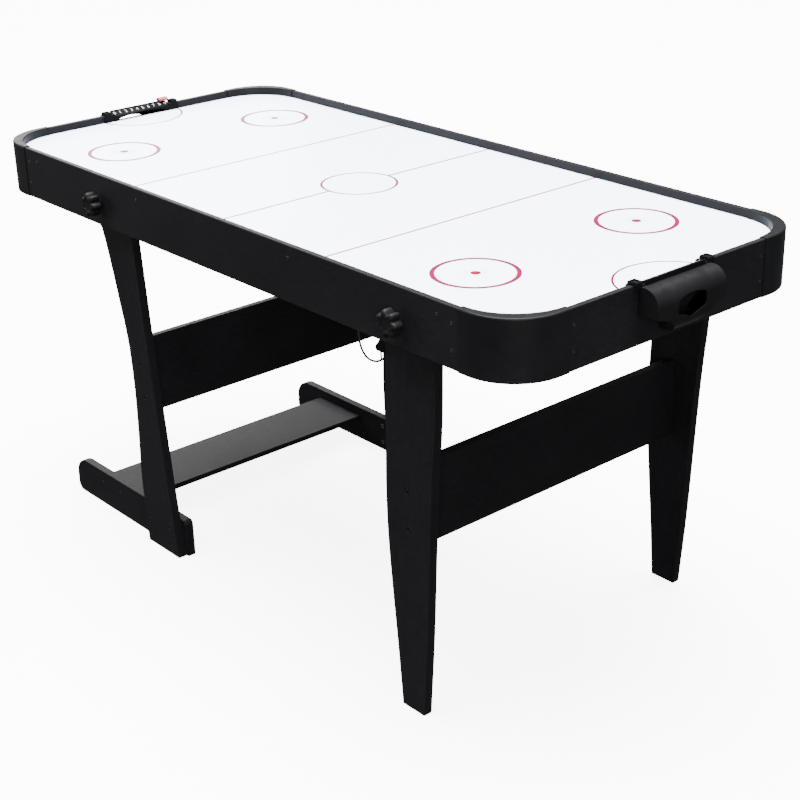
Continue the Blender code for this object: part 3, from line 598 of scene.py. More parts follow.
def master(obj):
    """The finished mesh of obj, for use in joined()."""
    mesh = fixed(obj).data
    bpy.data.objects.remove(obj, do_unlink=True)
    return mesh


def cross_screw(r, proud, recess=0.0012):
    """A countersunk cross-recess head; its face is at z = 0, its skirt below."""
    head = add("m_screw", turned_mesh([(0, -0.0020), (r * 0.70, -0.0020), (r, -0.0005),
                                       (r, 0.0), (r * 0.93, proud * 0.8),
                                       (r * 0.60, proud), (0, proud)], 28))
    a, w = r * 0.58, r * 0.14
    outline = [(a, -w), (a, w), (w, w), (w, a), (-w, a), (-w, w), (-a, w), (-a, -w),
               (-w, -w), (-w, -a), (w, -a), (w, -w)]
    cut(head, prism("m_cross", outline, "Z", proud - recess, 0.01))
    return master(head)


def socket_bolt(r, proud, hexagon, skirt=0.0022):
    """A flat round head with a hexagon socket."""
    head = add("m_bolt", turned_mesh([(0, -skirt), (r, -skirt), (r, proud - 0.0006),
                                      (r - 0.0007, proud), (0, proud)], 32))
    outline = circle(0, 0, hexagon, 6)
    cut(head, prism("m_hex", outline, "Z", proud - 0.0022, 0.01))
    return master(head)


def hex_nut(r, h, bore):
    nut = prism("m_nut", circle(0, 0, r, 6), "Z", 0, h)
    cone = add("m_cone", turned_mesh([(0, -0.01), (r * 0.90, -0.01), (r * 1.02, h * 0.25),
                                      (r * 1.02, h * 0.75), (r * 0.86, h + 0.002), (0, h + 0.002)],
                                     32))
    cut(nut, cone, "INTERSECT")
    drill(nut, "Z", (0, 0), bore, -0.01, h + 0.01)
    return master(nut)


def facing(point, direction, spin=0.0):
    """A placement that turns local +Z to direction."""
    turn = Vector(direction).to_track_quat("Z", "Y").to_matrix().to_4x4()
    return Matrix.Translation(Vector(point)) @ turn @ Matrix.Rotation(spin, 4, "Z")


SCREW = cross_screw(0.0034, 0.0004)
SMALL_SCREW = cross_screw(0.0028, 0.0008)
BOLT_HEAD = socket_bolt(0.0050, 0.0, 0.0025)
NUT = hex_nut(0.0056, 0.0040, 0.0027)

# ---------------------------------------------------------------- side boards



def ease_long(board, along, width=0.0014):
    """Rounds the four long edges of a plain board."""
    axis = "XYZ".index(along)
    bm = bmesh.new()
    bm.from_mesh(board.data)
    edges = [e for e in bm.edges
             if abs(e.verts[0].co[axis] - e.verts[1].co[axis]) > 0.1]
    bmesh.ops.bevel(bm, geom=edges, offset=width, segments=4, profile=0.5, affect="EDGES")
    bm.to_mesh(board.data)
    bm.free()


for side, s in SIDES:
    y0, y1 = sorted((s * Y_IN, s * TABLE_W / 2))
    name = side + "_side_board"
    board = box(name, (-X_SEAM, X_SEAM), (y0, y1), (APRON_BOTTOM, RAIL_TOP))
    for end, e in ENDS:
        px = PIVOT_X[end]
        drill(board, "Y", (px + STUD_DX, PIVOT_Z + STUD_DZ), STUD_R + GAP,
              y0 - 0.01, y1 + 0.01)
        seat = sorted((s * (Y_IN - 0.01), s * (Y_IN + 0.0082)))
        drill(board, "Y", (px, PIVOT_Z), PIVOT_R + GAP, *seat)
    ease_long(board, "X")
    fixed(board)
    ready(board, FOIL_X, "tabletop", "panel_black", side + "_side_apron")
    spots = []
    for x, z in ((-0.6015, 0.760), (-0.2325, 0.7595), (0.2325, 0.7595), (0.6015, 0.760),
                 (-0.634, 0.754), (-0.634, 0.7105), (0.634, 0.754), (0.634, 0.7105)):
        spots.append((SCREW, facing((x, s * TABLE_W / 2, z), (0, s, 0), 0.4 + 7 * x)))
    ready(joined(side + "_side_board_screws", spots), BLACK_STEEL, "tabletop", "bolt_black")

for end, e in ENDS:
    x0, x1 = sorted((e * X_IN, e * TABLE_L / 2))
    board = box(end + "_end_board", (x0, x1), (-Y_SEAM + GAP, Y_SEAM - GAP),
                (APRON_BOTTOM, RAIL_TOP))
    ease_long(board, "Y")
    cut(board, box("t_notch", (x0 - 0.01, x1 + 0.01), (-NOTCH_HALF, NOTCH_HALF),
                   (PLAY_Z - 0.0006, RAIL_TOP + 0.01)))
    fixed(board)
    ready(board, FOIL_Y, "tabletop", "panel_black", end + "_end_apron")
    spots = [(SCREW, facing((e * TABLE_L / 2, y, z), (e, 0, 0), 0.3 + 9 * y + z))
             for y in (-0.2215, 0.2215) for z in (0.754, 0.7115)]
    ready(joined(end + "_end_board_screws", spots), BLACK_STEEL, "tabletop", "bolt_black")

# --------------------------------------------------------------- rail corners

RC_OUT = CORNER_R + CORNER_PROUD - GAP
RC_IN = CORNER_R - APRON_T
RC_WEB = RC_IN - 0.0095
TONGUE = 0.030


def corner_profile():
    """Wall of the corner moulding in (radius, z), rounded along the top."""
    r0, r1 = RC_IN - CORNER_LIP, RC_OUT
    zt, zb = RAIL_TOP + CORNER_PROUD, APRON_BOTTOM - 0.0005
    top = 0.0032
    pts = [(RC_IN - GAP, zb + 0.0008), (RC_IN + 0.0005, zb), (r1 - 0.0010, zb),
           (r1, zb + 0.0010)]
    pts += arc(r1 - top, zt - top, top, 0, 90, 6)
    pts += arc(r0 + 0.0024, zt - 0.0024, 0.0024, 90, 180, 5)
    low = PLAY_Z - PLAY_T - 0.0010
    pts += [(r0, low), (RC_IN - GAP, low)]
    return pts


def corner_bulge(a):
    """How far the outer face lies beyond a plain arc at angle a."""
    d, c, q = CORNER_SQUARE, math.cos(a), math.sin(a)
    full = RC_OUT + GAP
    if full * min(c, q) <= d * max(c, q):
        return full / max(c, q) - full
    bend = full - d
    return d * (c + q) + math.sqrt(d * d * (c + q) ** 2 - 2 * d * d + bend * bend) - full


for end, e in ENDS:
    for side, s in SIDES:
        cx, cy = X_SEAM + GAP, Y_SEAM + GAP
        rings = []
        for k in range(37):
            a = math.radians(90 * k / 36)
            wall = [(r + corner_bulge(a) * min(1, max(0, (r - RC_IN - 0.0006) / 0.006)), z)
                    for r, z in corner_profile()]
            rings.append([(e * (cx + r * math.cos(a)), s * (cy + r * math.sin(a)), z)
                          for r, z in wall])
        shell = add("corner_%s_%s" % (side, end), rings_mesh(rings))
        web = (arc(cx, cy, RC_IN + 0.001, 0, 90, 24)
               + [(cx - 0.0001, cy + RC_IN - 2 * GAP), (cx - TONGUE, cy + RC_IN - 2 * GAP),
                  (cx - TONGUE, cy + RC_WEB)]
               + arc(cx, cy, RC_WEB, 90, 0, 24)
               + [(cx + RC_WEB, cy - TONGUE), (cx + RC_IN - 2 * GAP, cy - TONGUE),
                  (cx + RC_IN - 2 * GAP, cy - 0.0001)])
        cut(shell, prism("t_web", [(e * a, s * b) for a, b in web], "Z",
                         0.690, PLAY_Z - PLAY_T - 0.0005), "UNION")
        fixed(shell)
        ready(shell, CORNER_PLASTIC, "tabletop", "corner_black",
              "rail_corner_%s_%s" % (side, end))

# ------------------------------------------------------------ playing surface


def field_plan():
    pts = []
    for sx, sy, a0 in ((1, 1, 0), (-1, 1, 90), (-1, -1, 180), (1, -1, 270)):
        ends = [arc(sx * X_SEAM, sy * Y_SEAM, RC_IN - 0.0008, a, a, 1)[0]
                for a in (a0, a0 + 90)]
        pts += ([ends[0]]
                + arc(sx * X_SEAM, sy * Y_SEAM, RC_IN - CORNER_LIP - GAP, a0, a0 + 90, 24)
                + [ends[1]])
    return pts


surface = prism("playing_board", field_plan(), "Z",
                PLAY_Z - PLAY_T, PLAY_Z)
ready(surface, PLAY, "tabletop", "playfield_white", "playfield_panel")
surface.data.materials.append(BOARD)
for face in surface.data.polygons:
    if face.normal.z < 0.5:
        face.material_index = 1

INK_T = 0.00012


def ring_plate(cx, cy, r0, r1, a0=0.0, a1=360.0, n=96):
    """A thin printed band; open bands get end faces."""
    full = abs(a1 - a0) >= 360
    rings = []
    for k in range(n if full else n + 1):
        a = math.radians(a0 + (a1 - a0) * k / n)
        c, d = math.cos(a), math.sin(a)
        rings.append([(cx + r0 * c, cy + r0 * d, PLAY_Z + 0.00001),
                      (cx + r1 * c, cy + r1 * d, PLAY_Z + 0.00001),
                      (cx + r1 * c, cy + r1 * d, PLAY_Z + INK_T),
                      (cx + r0 * c, cy + r0 * d, PLAY_Z + INK_T)])
    if full:
        rings.append(rings[0])
        bm = rings_mesh(rings, caps=False)
        bmesh.ops.remove_doubles(bm, verts=bm.verts, dist=1e-7)
        bmesh.ops.recalc_face_normals(bm, faces=bm.faces)
        return bm
    return rings_mesh(rings)


def gather(name, parts):
    bm = bmesh.new()
    for part in parts:
        mesh = bpy.data.meshes.new("tmp")
        part.to_mesh(mesh)
        part.free()
        bm.from_mesh(mesh)
        bpy.data.meshes.remove(mesh)
    return add(name, bm)


LINE = 0.0048
FACEOFF = ((-0.521, -0.1915), (-0.521, 0.1915), (0.521, -0.1915), (0.521, 0.1915))
Y_EDGE = Y_IN - 0.0006
marks = []
for x in (-0.290, 0.290):
    marks.append(prism_mesh(rect(x - LINE / 2, x + LINE / 2, -Y_EDGE, Y_EDGE), "Z",
                            PLAY_Z + 0.00001, PLAY_Z + INK_T))
for y0, y1 in ((-Y_EDGE, -0.0705), (0.0705, Y_EDGE)):
    marks.append(prism_mesh(rect(-LINE / 2, LINE / 2, y0, y1), "Z",
                            PLAY_Z + 0.00001, PLAY_Z + INK_T))
marks.append(ring_plate(0, 0, 0.0692, 0.0740))
for x, y in FACEOFF:
    marks.append(ring_plate(x, y, 0.0658, 0.0740))
    marks.append(prism_mesh(circle(x, y, 0.0088, 40), "Z", PLAY_Z + 0.00001, PLAY_Z + INK_T))
ready(gather("field_lines", marks), RED_INK, "tabletop", "playfield_white")

# fine rays round the face-off spots, and the goal creases
thin = []
for x, y in FACEOFF:
    for k in range(16):
        a = 2 * math.pi * k / 16
        c, d = math.cos(a), math.sin(a)
        lo, hi = 0.0125, (0.022 if k % 2 else 0.030)
        w = 0.00028
        pts = [(x + lo * c - w * d, y + lo * d + w * c), (x + hi * c, y + hi * d),
               (x + lo * c + w * d, y + lo * d - w * c)]
        thin.append(prism_mesh(pts, "Z", PLAY_Z + 0.00001, PLAY_Z + INK_T))
for end, e in ENDS:
    half = math.degrees(math.acos((TABLE_L / 2 - X_IN + 0.0006) / 0.094))
    mid = 0 if e < 0 else 180
    thin.append(ring_plate(e * TABLE_L / 2, 0, 0.0920, 0.0960, mid - half, mid + half, 64))
ready(gather("crease_lines", thin), CREASE_INK, "tabletop", "playfield_white")

# ------------------------------------------------------ air chamber and blower

for n in ["plenum_base"] + ["plenum_batten_" + k for k in ("near", "far", "left", "right")]:
    NODES[n].data.materials.clear()
    NODES[n].data.materials.append(BOARD)

spots = []
for k in range(9):
    x = -0.64 + 1.28 * k / 8
    for y in (-0.303, 0.303):
        spots.append((SMALL_SCREW, facing((x, y, BASE_Z0), (0, 0, -1), 0.5 * k)))
for k in range(3):
    y = -0.18 + 0.18 * k
    for x in (-0.681, 0.681):
        spots.append((SMALL_SCREW, facing((x, y, BASE_Z0), (0, 0, -1), 0.8 * k)))
for k in range(4):
    a = math.pi / 4 + math.pi / 2 * k
    spots.append((SMALL_SCREW, facing((0.0675 * math.cos(a), 0.0675 * math.sin(a),
                                       FAN_Z1 - 0.003), (0, 0, -1), 0.7 * k)))
ready(joined("underside_screws", spots), ZINC, "tabletop", "zinc_steel")

profile = [(FAN_R_IN, FAN_Z0), (FAN_R_OUT - 0.0006, FAN_Z0), (FAN_R_OUT, FAN_Z0 + 0.0006),
           (FAN_R_OUT, FAN_Z1 - 0.0045), (FAN_R_OUT + 0.0015, FAN_Z1 - 0.003),
           (0.0715, FAN_Z1 - 0.003), (0.072, FAN_Z1 - 0.0025), (0.072, FAN_Z1),
           (FAN_R_IN, FAN_Z1)]
housing = add("blower_shell", turned_mesh(profile, 72, closed=True))
for k in range(12):
    a = 2 * math.pi * (k + 0.5) / 12
    rib = box("t_rib", (FAN_R_OUT - 0.001, FAN_R_OUT + 0.0035), (-0.0009, 0.0009),
              (FAN_Z0 + 0.020, FAN_Z1 - 0.002))
    rib.data.transform(Matrix.Rotation(a, 4, "Z"))
    cut(housing, rib, "UNION")
fixed(housing)
ready(housing, BLACK_PLASTIC, "tabletop", "moulding_black", "blower_housing")

grille_z = (FAN_Z0 - 0.0040, FAN_Z0 - GAP)
grille = prism("blower_grille", circle(0, 0, FAN_R_OUT, 72), "Z", *grille_z)
for ring_in, ring_out in ((0.024, 0.036), (0.041, 0.054)):
    for k in range(4):
        a0 = 90 * k + 45 / 2 + math.degrees(0.0025 / ring_in)
        a1 = 90 * (k + 1) + 45 / 2 - math.degrees(0.0025 / ring_in)
        pts = arc(0, 0, ring_in, a0, a1, 14) + arc(0, 0, ring_out, a1, a0, 14)
        cut(grille, prism("t_slot", pts, "Z", grille_z[0] - 0.01, grille_z[1] + 0.01))
fixed(grille, 0.0005, 2)
ready(grille, BLACK_PLASTIC, "tabletop", "moulding_black", "fan_grille")

motor = add("blower_motor", turned_mesh(
    [(0, FAN_Z0), (0.0155, FAN_Z0), (0.0170, FAN_Z0 + 0.0006), (0.0175, FAN_Z0 + 0.0018),
     (0.0175, 0.6905), (0.0170, 0.6910), (0.0175, 0.6915), (0.0175, 0.6948), (0.0165, 0.6962),
     (0.0155, 0.6965), (0.0038, 0.6965), (0.0035, 0.6968), (0.0035, 0.699), (0.0015, 0.699),
     (0.0015, 0.714), (0, 0.714)], 48))
ready(motor, ZINC, "tabletop", "zinc_steel", "fan_motor")

HUB_Z0, HUB_Z1, BLADES = 0.7000, 0.7200, 5
hub = add("impeller", turned_mesh([(0, HUB_Z0), (0.0180, HUB_Z0), (0.0194, HUB_Z0 + 0.0006),
                                   (0.0200, HUB_Z0 + 0.0018), (0.0200, HUB_Z1 - 0.004),
                                   (0.0192, HUB_Z1 - 0.0015), (0.0170, HUB_Z1), (0, HUB_Z1)], 48))
for k in range(BLADES):
    rings = []
    for i in range(11):
        t = i / 10
        r = 0.0180 + t * (0.0560 - 0.0180)
        pitch = math.radians(38 - 14 * t)
        chord = 0.024 + 0.008 * t - 0.004 * max(0, t - 0.8) / 0.2
        sweep = 0.10 * t
        ring = []
        for u, w in [(-0.5 + j / 8, -0.0006) for j in range(9)] + [
                (0.5 - j / 8, 0.0006) for j in range(9)]:
            run = chord * u
            camber = 0.0012 * math.cos(math.pi * u)
            w = w * (1 - 0.6 * abs(2 * u) ** 3) + camber
            dz = run * math.sin(pitch) + w * math.cos(pitch)
            dy = run * math.cos(pitch) - w * math.sin(pitch)
            dz = max(-0.0088, min(0.0088, dz))
            ang = sweep + dy / r
            ring.append((r * math.cos(ang), r * math.sin(ang), (HUB_Z0 + HUB_Z1) / 2 + dz))
        rings.append(ring)
    blade = add("t_blade", rings_mesh(rings))
    blade.data.transform(Matrix.Rotation(2 * math.pi * k / BLADES, 4, "Z"))
    cut(hub, blade, "UNION")
drill(hub, "Z", (0, 0), 0.0019, HUB_Z0 - 0.005, 0.7145)
fixed(hub, smooth=40)
ready(hub, BLACK_PLASTIC, "fan_impeller", "moulding_black", "fan_impeller")

# ------------------------------------------------------- goal boxes, scorers


def goal_side(inset, n=20):
    top, bot, out = GOAL_TOP - inset, GOAL_BOTTOM + inset, GOAL_OUT - inset
    r_top, r_bot = 0.028 - inset, 0.030 - inset
    back = TABLE_L / 2 + GAP - (0.02 if inset else 0.0)
    return ([(back, top)] + arc(out - r_top, top - r_top, r_top, 90, 0, n)
            + arc(out - r_bot, bot + r_bot, r_bot, 0, -90, n) + [(back, bot)])


def goal_front(inset):
    """Front outline in (y, z); the shoulders below are a smooth curve."""
    side = [(y - (0.6 * inset if n else inset), z + inset)
            for n, (y, z) in enumerate(GOAL_SHOULDER)]
    if not inset:
        side.append((0.0265, GOAL_BOTTOM - 0.010))
    side = [(p.x, p.y) for p in spline([(y, z, 0) for y, z in side], 4)]
    half = [(GOAL_HALF - inset, GOAL_TOP + 0.02)] + side
    return half + [(-y, z) for y, z in half[::-1]]


def goal_hole():
    full = GOAL_HOLE + [(-y, z) for y, z in GOAL_HOLE[-2:0:-1]]
    return [(p.x, p.y) for p in spline([(y, z, 0) for y, z in full + full[:1]], 4)[:-1]]


def digits(name, centre, along_dir, up_dir, body):
    """The numerals 0 to 9 as thin printed shapes on the scorer's face."""
    normal = Vector(along_dir).cross(Vector(up_dir)).normalized()
    parts = []
    for k in range(10):
        curve = bpy.data.curves.new("t_digit", "FONT")
        curve.body = str(k)
        curve.size = 0.0118
        curve.align_x = "CENTER"
        curve.align_y = "CENTER"
        curve.extrude = 0.00008
        curve.offset = 0.00008
        curve.resolution_u = 6
        obj = bpy.data.objects.new("t_digit", curve)
        bpy.context.scene.collection.objects.link(obj)
        bpy.context.view_layer.update()
        mesh = bpy.data.meshes.new_from_object(
            obj.evaluated_get(bpy.context.evaluated_depsgraph_get()))
        lo = min(v.co.y for v in mesh.vertices)
        hi = max(v.co.y for v in mesh.vertices)
        left = min(v.co.x for v in mesh.vertices)
        right = max(v.co.x for v in mesh.vertices)
        mesh.transform(Matrix.Translation((-(left + right) / 2, -(lo + hi) / 2, 0)))
        bpy.data.objects.remove(obj, do_unlink=True)
        turn = Matrix((Vector(along_dir), Vector(up_dir), normal)).transposed().to_4x4()
        at = Vector(centre) + Vector(along_dir) * ((k - 4.5) * DIGIT_PITCH) + normal * 0.00010
        parts.append((mesh, Matrix.Translation(at) @ turn))
    return joined(name, parts)


for end, e in ENDS:
    mir = lambda pts: [(e * a, b) for a, b in pts]
    goal = prism("goal_pocket_" + end, mir(goal_side(0.0)), "Y", -GOAL_HALF, GOAL_HALF)
    x0, x1 = sorted((e * 0.74, e * 0.84))
    cut(goal, prism("t_trim", goal_front(0.0), "X", x0, x1), "INTERSECT")
    fixed(goal, 0.0016, 4, 35)
    hollow = prism("t_hollow", mir(goal_side(GOAL_WALL)), "Y",
                   -GOAL_HALF + GOAL_WALL, GOAL_HALF - GOAL_WALL)
    cut(hollow, prism("t_hollow_trim", goal_front(GOAL_WALL), "X", x0, x1), "INTERSECT")
    fixed(hollow)
    cut(goal, hollow)
    xa, xb = sorted((e * 0.790, e * 0.840))
    cut(goal, prism("t_hole", goal_hole(), "X", xa, xb))
    xa, xb = sorted((e * 0.750, e * 0.7716))
    cut(goal, box("t_room", (xa, xb), (-0.12, 0.12), (0.7741, 0.80)))
    xa, xb = sorted((e * 0.7000, e * (TABLE_L / 2 + GAP)))
    cut(goal, box("t_back", (xa, xb), (-0.2, 0.2), (0.6, 0.9)))
    fixed(goal)
    ready(goal, BLACK_PLASTIC, "tabletop", "moulding_black", "goal_box_" + end)

    bar = [(0.7505, PLAY_Z + GAP), (0.7505, 0.7785), (0.7690, SCORER_TOP),
           (0.7712, SCORER_TOP), (0.7712, 0.7745), (0.7650, 0.7745),
           (0.7650, PLAY_Z + GAP)]
    scorer = prism("scorer_bar_" + end, mir(bar), "Y", -NOTCH_HALF + GAP, NOTCH_HALF - GAP)
    arch = [(-MOUTH_HALF, PLAY_Z - 0.01), (MOUTH_HALF, PLAY_Z - 0.01)]
    arch += [(MOUTH_HALF * math.cos(math.pi * k / 40),
              PLAY_Z + 0.0002 + (MOUTH_TOP - PLAY_Z) * math.sin(math.pi * k / 40) ** 0.8)
             for k in range(41)]
    xa, xb = sorted((e * 0.740, e * 0.785))
    cut(scorer, prism("t_arch", arch, "X", xa, xb))
    fixed(scorer, 0.0004, 2)
    pieces = []
    for s in (-1, 1):
        flange = [(0.7510, PLAY_Z + 0.0007), (0.7535, PLAY_Z + 0.0007), (0.7535, 0.7815),
                  (0.7526, 0.7828), (0.7510, 0.7828)]
        ya, yb = sorted((s * (NOTCH_HALF - 0.0015), s * FLANGE_HALF))
        plate = prism("t_flange", mir(flange), "Y", ya, yb)
        fixed(plate, 0.0004, 2)
        hook = ([(0.7512, 0.7800), (0.7512, HOOK_TOP - 0.0035)]
                + arc(0.7547, HOOK_TOP - 0.0035, 0.0035, 180, 90, 10)
                + arc(0.7670, HOOK_TOP - 0.0035, 0.0035, 90, 0, 10)
                + [(0.7705, 0.7750), (0.7653, 0.7750), (0.7653, RAIL_TOP + GAP),
                   (0.7533, RAIL_TOP + GAP), (0.7533, 0.7800)])
        ya, yb = sorted((s * HOOK_Y0, s * HOOK_Y1))
        clip = prism("t_clip", mir(hook), "Y", ya, yb)
        ya, yb = sorted((s * (HOOK_Y0 + 0.0022), s * (HOOK_Y1 - 0.0022)))
        xa, xb = sorted((e * 0.7560, e * 0.7675))
        cut(clip, box("t_pocket", (xa, xb), (ya, yb), (HOOK_TOP - 0.0025, 0.80)))
        fixed(clip, 0.0006, 2, 50)
        ya, yb = sorted((s * (NOTCH_HALF - 0.0015), s * (HOOK_Y0 + 0.001)))
        xa, xb = sorted((e * 0.7655, e * 0.7700))
        bridge = box("t_bridge", (xa, xb), (ya, yb), (0.7755, 0.7815))
        fixed(bridge, 0.0004, 2)
        pieces += [plate, clip, bridge]
    xa, xb = sorted((e * 0.7665, e * 0.7697))
    cut(scorer, box("t_track", (xa, xb), (-0.0690, 0.0690), (SCORER_TOP - 0.0040, SCORER_TOP + 0.01)))
    fixed(scorer)
    shells = [(scorer.data, Matrix.Identity(4))] + [(p.data, Matrix.Identity(4)) for p in pieces]
    whole = joined("scorer_moulding_" + end, shells)
    for part in [scorer] + pieces:
        bpy.data.objects.remove(part, do_unlink=True)
    scorer = whole
    ready(scorer, SCORER_PLASTIC, "tabletop", "moulding_black", "scorer_" + end)

    slope = Vector((0.0185, 0, 0.0090)).normalized()
    up = Vector((e * slope.x, 0, slope.z))
    sideways = Vector((0, -e, 0))
    centre = Vector((e * 0.7598, 0.0, 0.7785 + 0.0090 * (0.7598 - 0.7505) / 0.0185))
    ready(digits("scorer_digits_" + end, centre, sideways, up, "tabletop"),
          WHITE_INK, "tabletop", "moulding_black")

counter = prism("counter_red", [(-0.7615, SCORER_TOP + GAP), (-0.7740, SCORER_TOP + GAP),
                                (-0.7740, 0.7920), (-0.7715, 0.7948), (-0.7655, 0.7948),
                                (-0.7615, 0.7915)], "Y", SLIDER_Y - 0.0115, SLIDER_Y + 0.0115)
for k in range(5):
    y = SLIDER_Y - 0.0080 + 0.004 * k
    cut(counter, box("t_groove", (-0.79, -0.75), (y - 0.0006, y + 0.0006), (0.7942, 0.81)))
fixed(counter, 0.0007, 3)
cut(counter, box("t_keel", (-0.7697 + GAP, -0.7665 - GAP),
                 (SLIDER_Y - 0.0045, SLIDER_Y + 0.0045),
                 (SCORER_TOP - 0.0040 + GAP, SCORER_TOP + 0.002)), "UNION")
fixed(counter)
ready(counter, RED_PLASTIC, "score_counter", "counter_red", "score_counter_left")

# ----------------------------------------------------------------------- legs


def left_leg_outline():
    px, pz = PIVOT_X["left"], PIVOT_Z
    head = arc(px, pz, HEAD_R, 205, 90, 24)
    shoulder = arc(-0.315, pz + HEAD_R - 0.030, 0.030, 90, 5, 12)
    front = spline([(-0.2835, 0.690), (-0.2790, 0.640), (-0.2634, 0.459),
                    (-0.2485, 0.314), (-0.2310, 0.147), (-0.2122, 0.0)], 4)
    back = spline([(-0.3239, 0.0), (-0.3285, 0.090), (-0.3300, 0.170), (-0.3262, 0.259),
                   (-0.3248, 0.350), (-0.3320, 0.445), (-0.3517, 0.5315),
                   (-0.3745, 0.620), (-0.3900, 0.668)], 4)
    return head + shoulder + [tuple(p) for p in front] + [tuple(p) for p in back]


def right_leg_outline():
    px, pz = PIVOT_X["right"], PIVOT_Z
    head = arc(px, pz, HEAD_R, 190, 90, 22)
    shoulder = arc(0.5525, pz + HEAD_R - 0.030, 0.030, 90, 5, 12)
    front = spline([(0.5825, 0.680), (0.5792, 0.5625), (0.5710, 0.4700),
                    (0.5631, 0.3450), (0.5531, 0.1600), (0.5405, 0.0)], 4)
    back = spline([(0.4857, 0.0), (0.4760, 0.120), (0.4660, 0.225), (0.4582, 0.325),
                   (0.4563, 0.410), (0.4590, 0.500), (0.4627, 0.600), (0.4643, 0.665)], 4)
    return head + shoulder + [tuple(p) for p in front] + [tuple(p) for p in back]


def slot_outline(px, pz):
    r = math.hypot(STUD_DX, STUD_DZ)
    a0 = math.degrees(math.atan2(STUD_DZ, STUD_DX))
    a1 = a0 + 90
    end0 = (px + r * math.cos(math.radians(a0)), pz + r * math.sin(math.radians(a0)))
    end1 = (px + r * math.cos(math.radians(a1)), pz + r * math.sin(math.radians(a1)))
    return (arc(px, pz, r + SLOT_HALF, a0, a1, 24)
            + arc(end1[0], end1[1], SLOT_HALF, a1, a1 + 180, 12)[1:]
            + arc(px, pz, r - SLOT_HALF, a1, a0, 24)[1:]
            + arc(end0[0], end0[1], SLOT_HALF, a0 + 180, a0 + 360, 12)[1:-1])


LEG_OUTLINE = {"left": left_leg_outline(), "right": right_leg_outline()}
CROSS_BOLTS = {"left": ((-0.2920, 0.407), (-0.2850, 0.336)),
               "right": ((0.510, 0.4225), (0.510, 0.3530))}
FOOT_BOLTS = ((-0.311, 0.062), (-0.311, 0.022), (-0.239, 0.062), (-0.239, 0.022))
SHELF_BOLTS = ((-0.526, 0.0540), (-0.457, 0.0540))

for end, e in ENDS:
    body = end + "_frame"
    for side, s in SIDES:
        y0, y1 = sorted((s * LEG_Y_IN, s * LEG_Y_OUT))
        leg = prism("%s_leg_board_%s" % (end, side), LEG_OUTLINE[end], "Y", y0, y1)
        px = PIVOT_X[end]
        drill(leg, "Y", (px, PIVOT_Z), PIVOT_R + GAP, y0 - 0.01, y1 + 0.01)
        cut(leg, prism("t_slot", slot_outline(px, PIVOT_Z), "Y", y0 - 0.01, y1 + 0.01))
        lo, hi = sorted((s * (LEG_Y_OUT - 0.0032), s * (LEG_Y_OUT + 0.01)))
        heads = list(CROSS_BOLTS[end]) + (list(FOOT_BOLTS) if end == "left" else [])
        for bx, bz in heads:
            drill(leg, "Y", (bx, bz), 0.0056, lo, hi)
        fixed(leg, 0.0009, 2)
        ready(leg, FOIL_Z, body, "panel_black", "%s_leg_%s" % (end, side))

half = CROSS_H / 2
cross = prism("right_cross_board",
              rect(RIGHT_CROSS_X - CROSS_T / 2, RIGHT_CROSS_X + CROSS_T / 2,
                   RIGHT_CROSS_Z - half, RIGHT_CROSS_Z + half), "Y", -CROSS_Y, CROSS_Y)
fixed(cross, 0.0010, 3)
ready(cross, FOIL_Y, "right_frame", "panel_black", "right_cross_panel")
lean = math.atan(LEFT_LEAN)
ax = Vector((-math.sin(lean), math.cos(lean)))
nx = Vector((math.cos(lean), math.sin(lean)))
mid = Vector((LEFT_CROSS_X, LEFT_CROSS_Z))
panel = [tuple(mid + nx * (a * CROSS_T / 2) + ax * (b * half))
         for a, b in ((-1, -1), (1, -1), (1, 1), (-1, 1))]
cross = prism("left_cross_board", panel, "Y", -CROSS_Y, CROSS_Y)
fixed(cross, 0.0010, 3)
ready(cross, FOIL_Y, "left_frame", "panel_black", "left_cross_panel")

for end, e in ENDS:
    for side, s in SIDES:
        for n, (bx, bz) in enumerate(CROSS_BOLTS[end]):
            which = ("upper", "lower")[n]
            place = facing((bx, s * (LEG_Y_OUT - 0.0006), bz), (0, s, 0), 0.4 * n + bx)
            bolt = joined("%s_leg_bolt_head_%s_%s" % (end, side, which), [(BOLT_HEAD, place)])
            ready(bolt, BLACK_STEEL, end + "_frame", "bolt_black",
                  "%s_leg_bolt_%s_%s" % (end, side, which))

# ----------------------------------------------------------------------- feet

for side, s in SIDES:
    y0, y1 = sorted((s * FOOT_Y_IN, s * FOOT_Y_OUT))
    plan = (arc(FOOT_X0 + 0.018, 0.018, 0.018, 270, 180, 12)
            + arc(FOOT_X0 + 0.042, FOOT_H - 0.042, 0.042, 180, 90, 20)
            + arc(FOOT_X1 - 0.010, FOOT_H - 0.010, 0.010, 90, 0, 10)
            + [(FOOT_X1, 0.0)])
    foot = prism("foot_" + side, plan, "Y", y0, y1)
    fixed(foot, 0.0010, 3)
    ready(foot, FOIL_X, "left_frame", "panel_black", "foot_board_" + side)
    spots = [(BOLT_HEAD, facing((bx, s * (LEG_Y_OUT - 0.0006), bz), (0, s, 0), bx * 9))
             for bx, bz in FOOT_BOLTS]
    spots += [(SCREW, facing((bx, s * FOOT_Y_OUT, bz), (0, s, 0), bx * 5))
              for bx, bz in SHELF_BOLTS]
    ready(joined("foot_bolts_" + side, spots), BLACK_STEEL, "left_frame", "bolt_black")
    nuts = [(NUT, facing((bx, s * FOOT_Y_IN, bz), (0, -s, 0), bx * 11))
            for bx, bz in FOOT_BOLTS]
    ready(joined("foot_nuts_" + side, nuts), ZINC, "left_frame", "zinc_steel")

shelf = box("shelf", (-0.544, -0.397), (-FOOT_Y_IN + GAP, FOOT_Y_IN - GAP), (0.048, 0.060))
fixed(shelf, 0.0010, 3)
ready(shelf, FOIL_Y, "left_frame", "panel_black", "shelf_board")

# ------------------------------------------------- pivot bolts, nuts and knobs


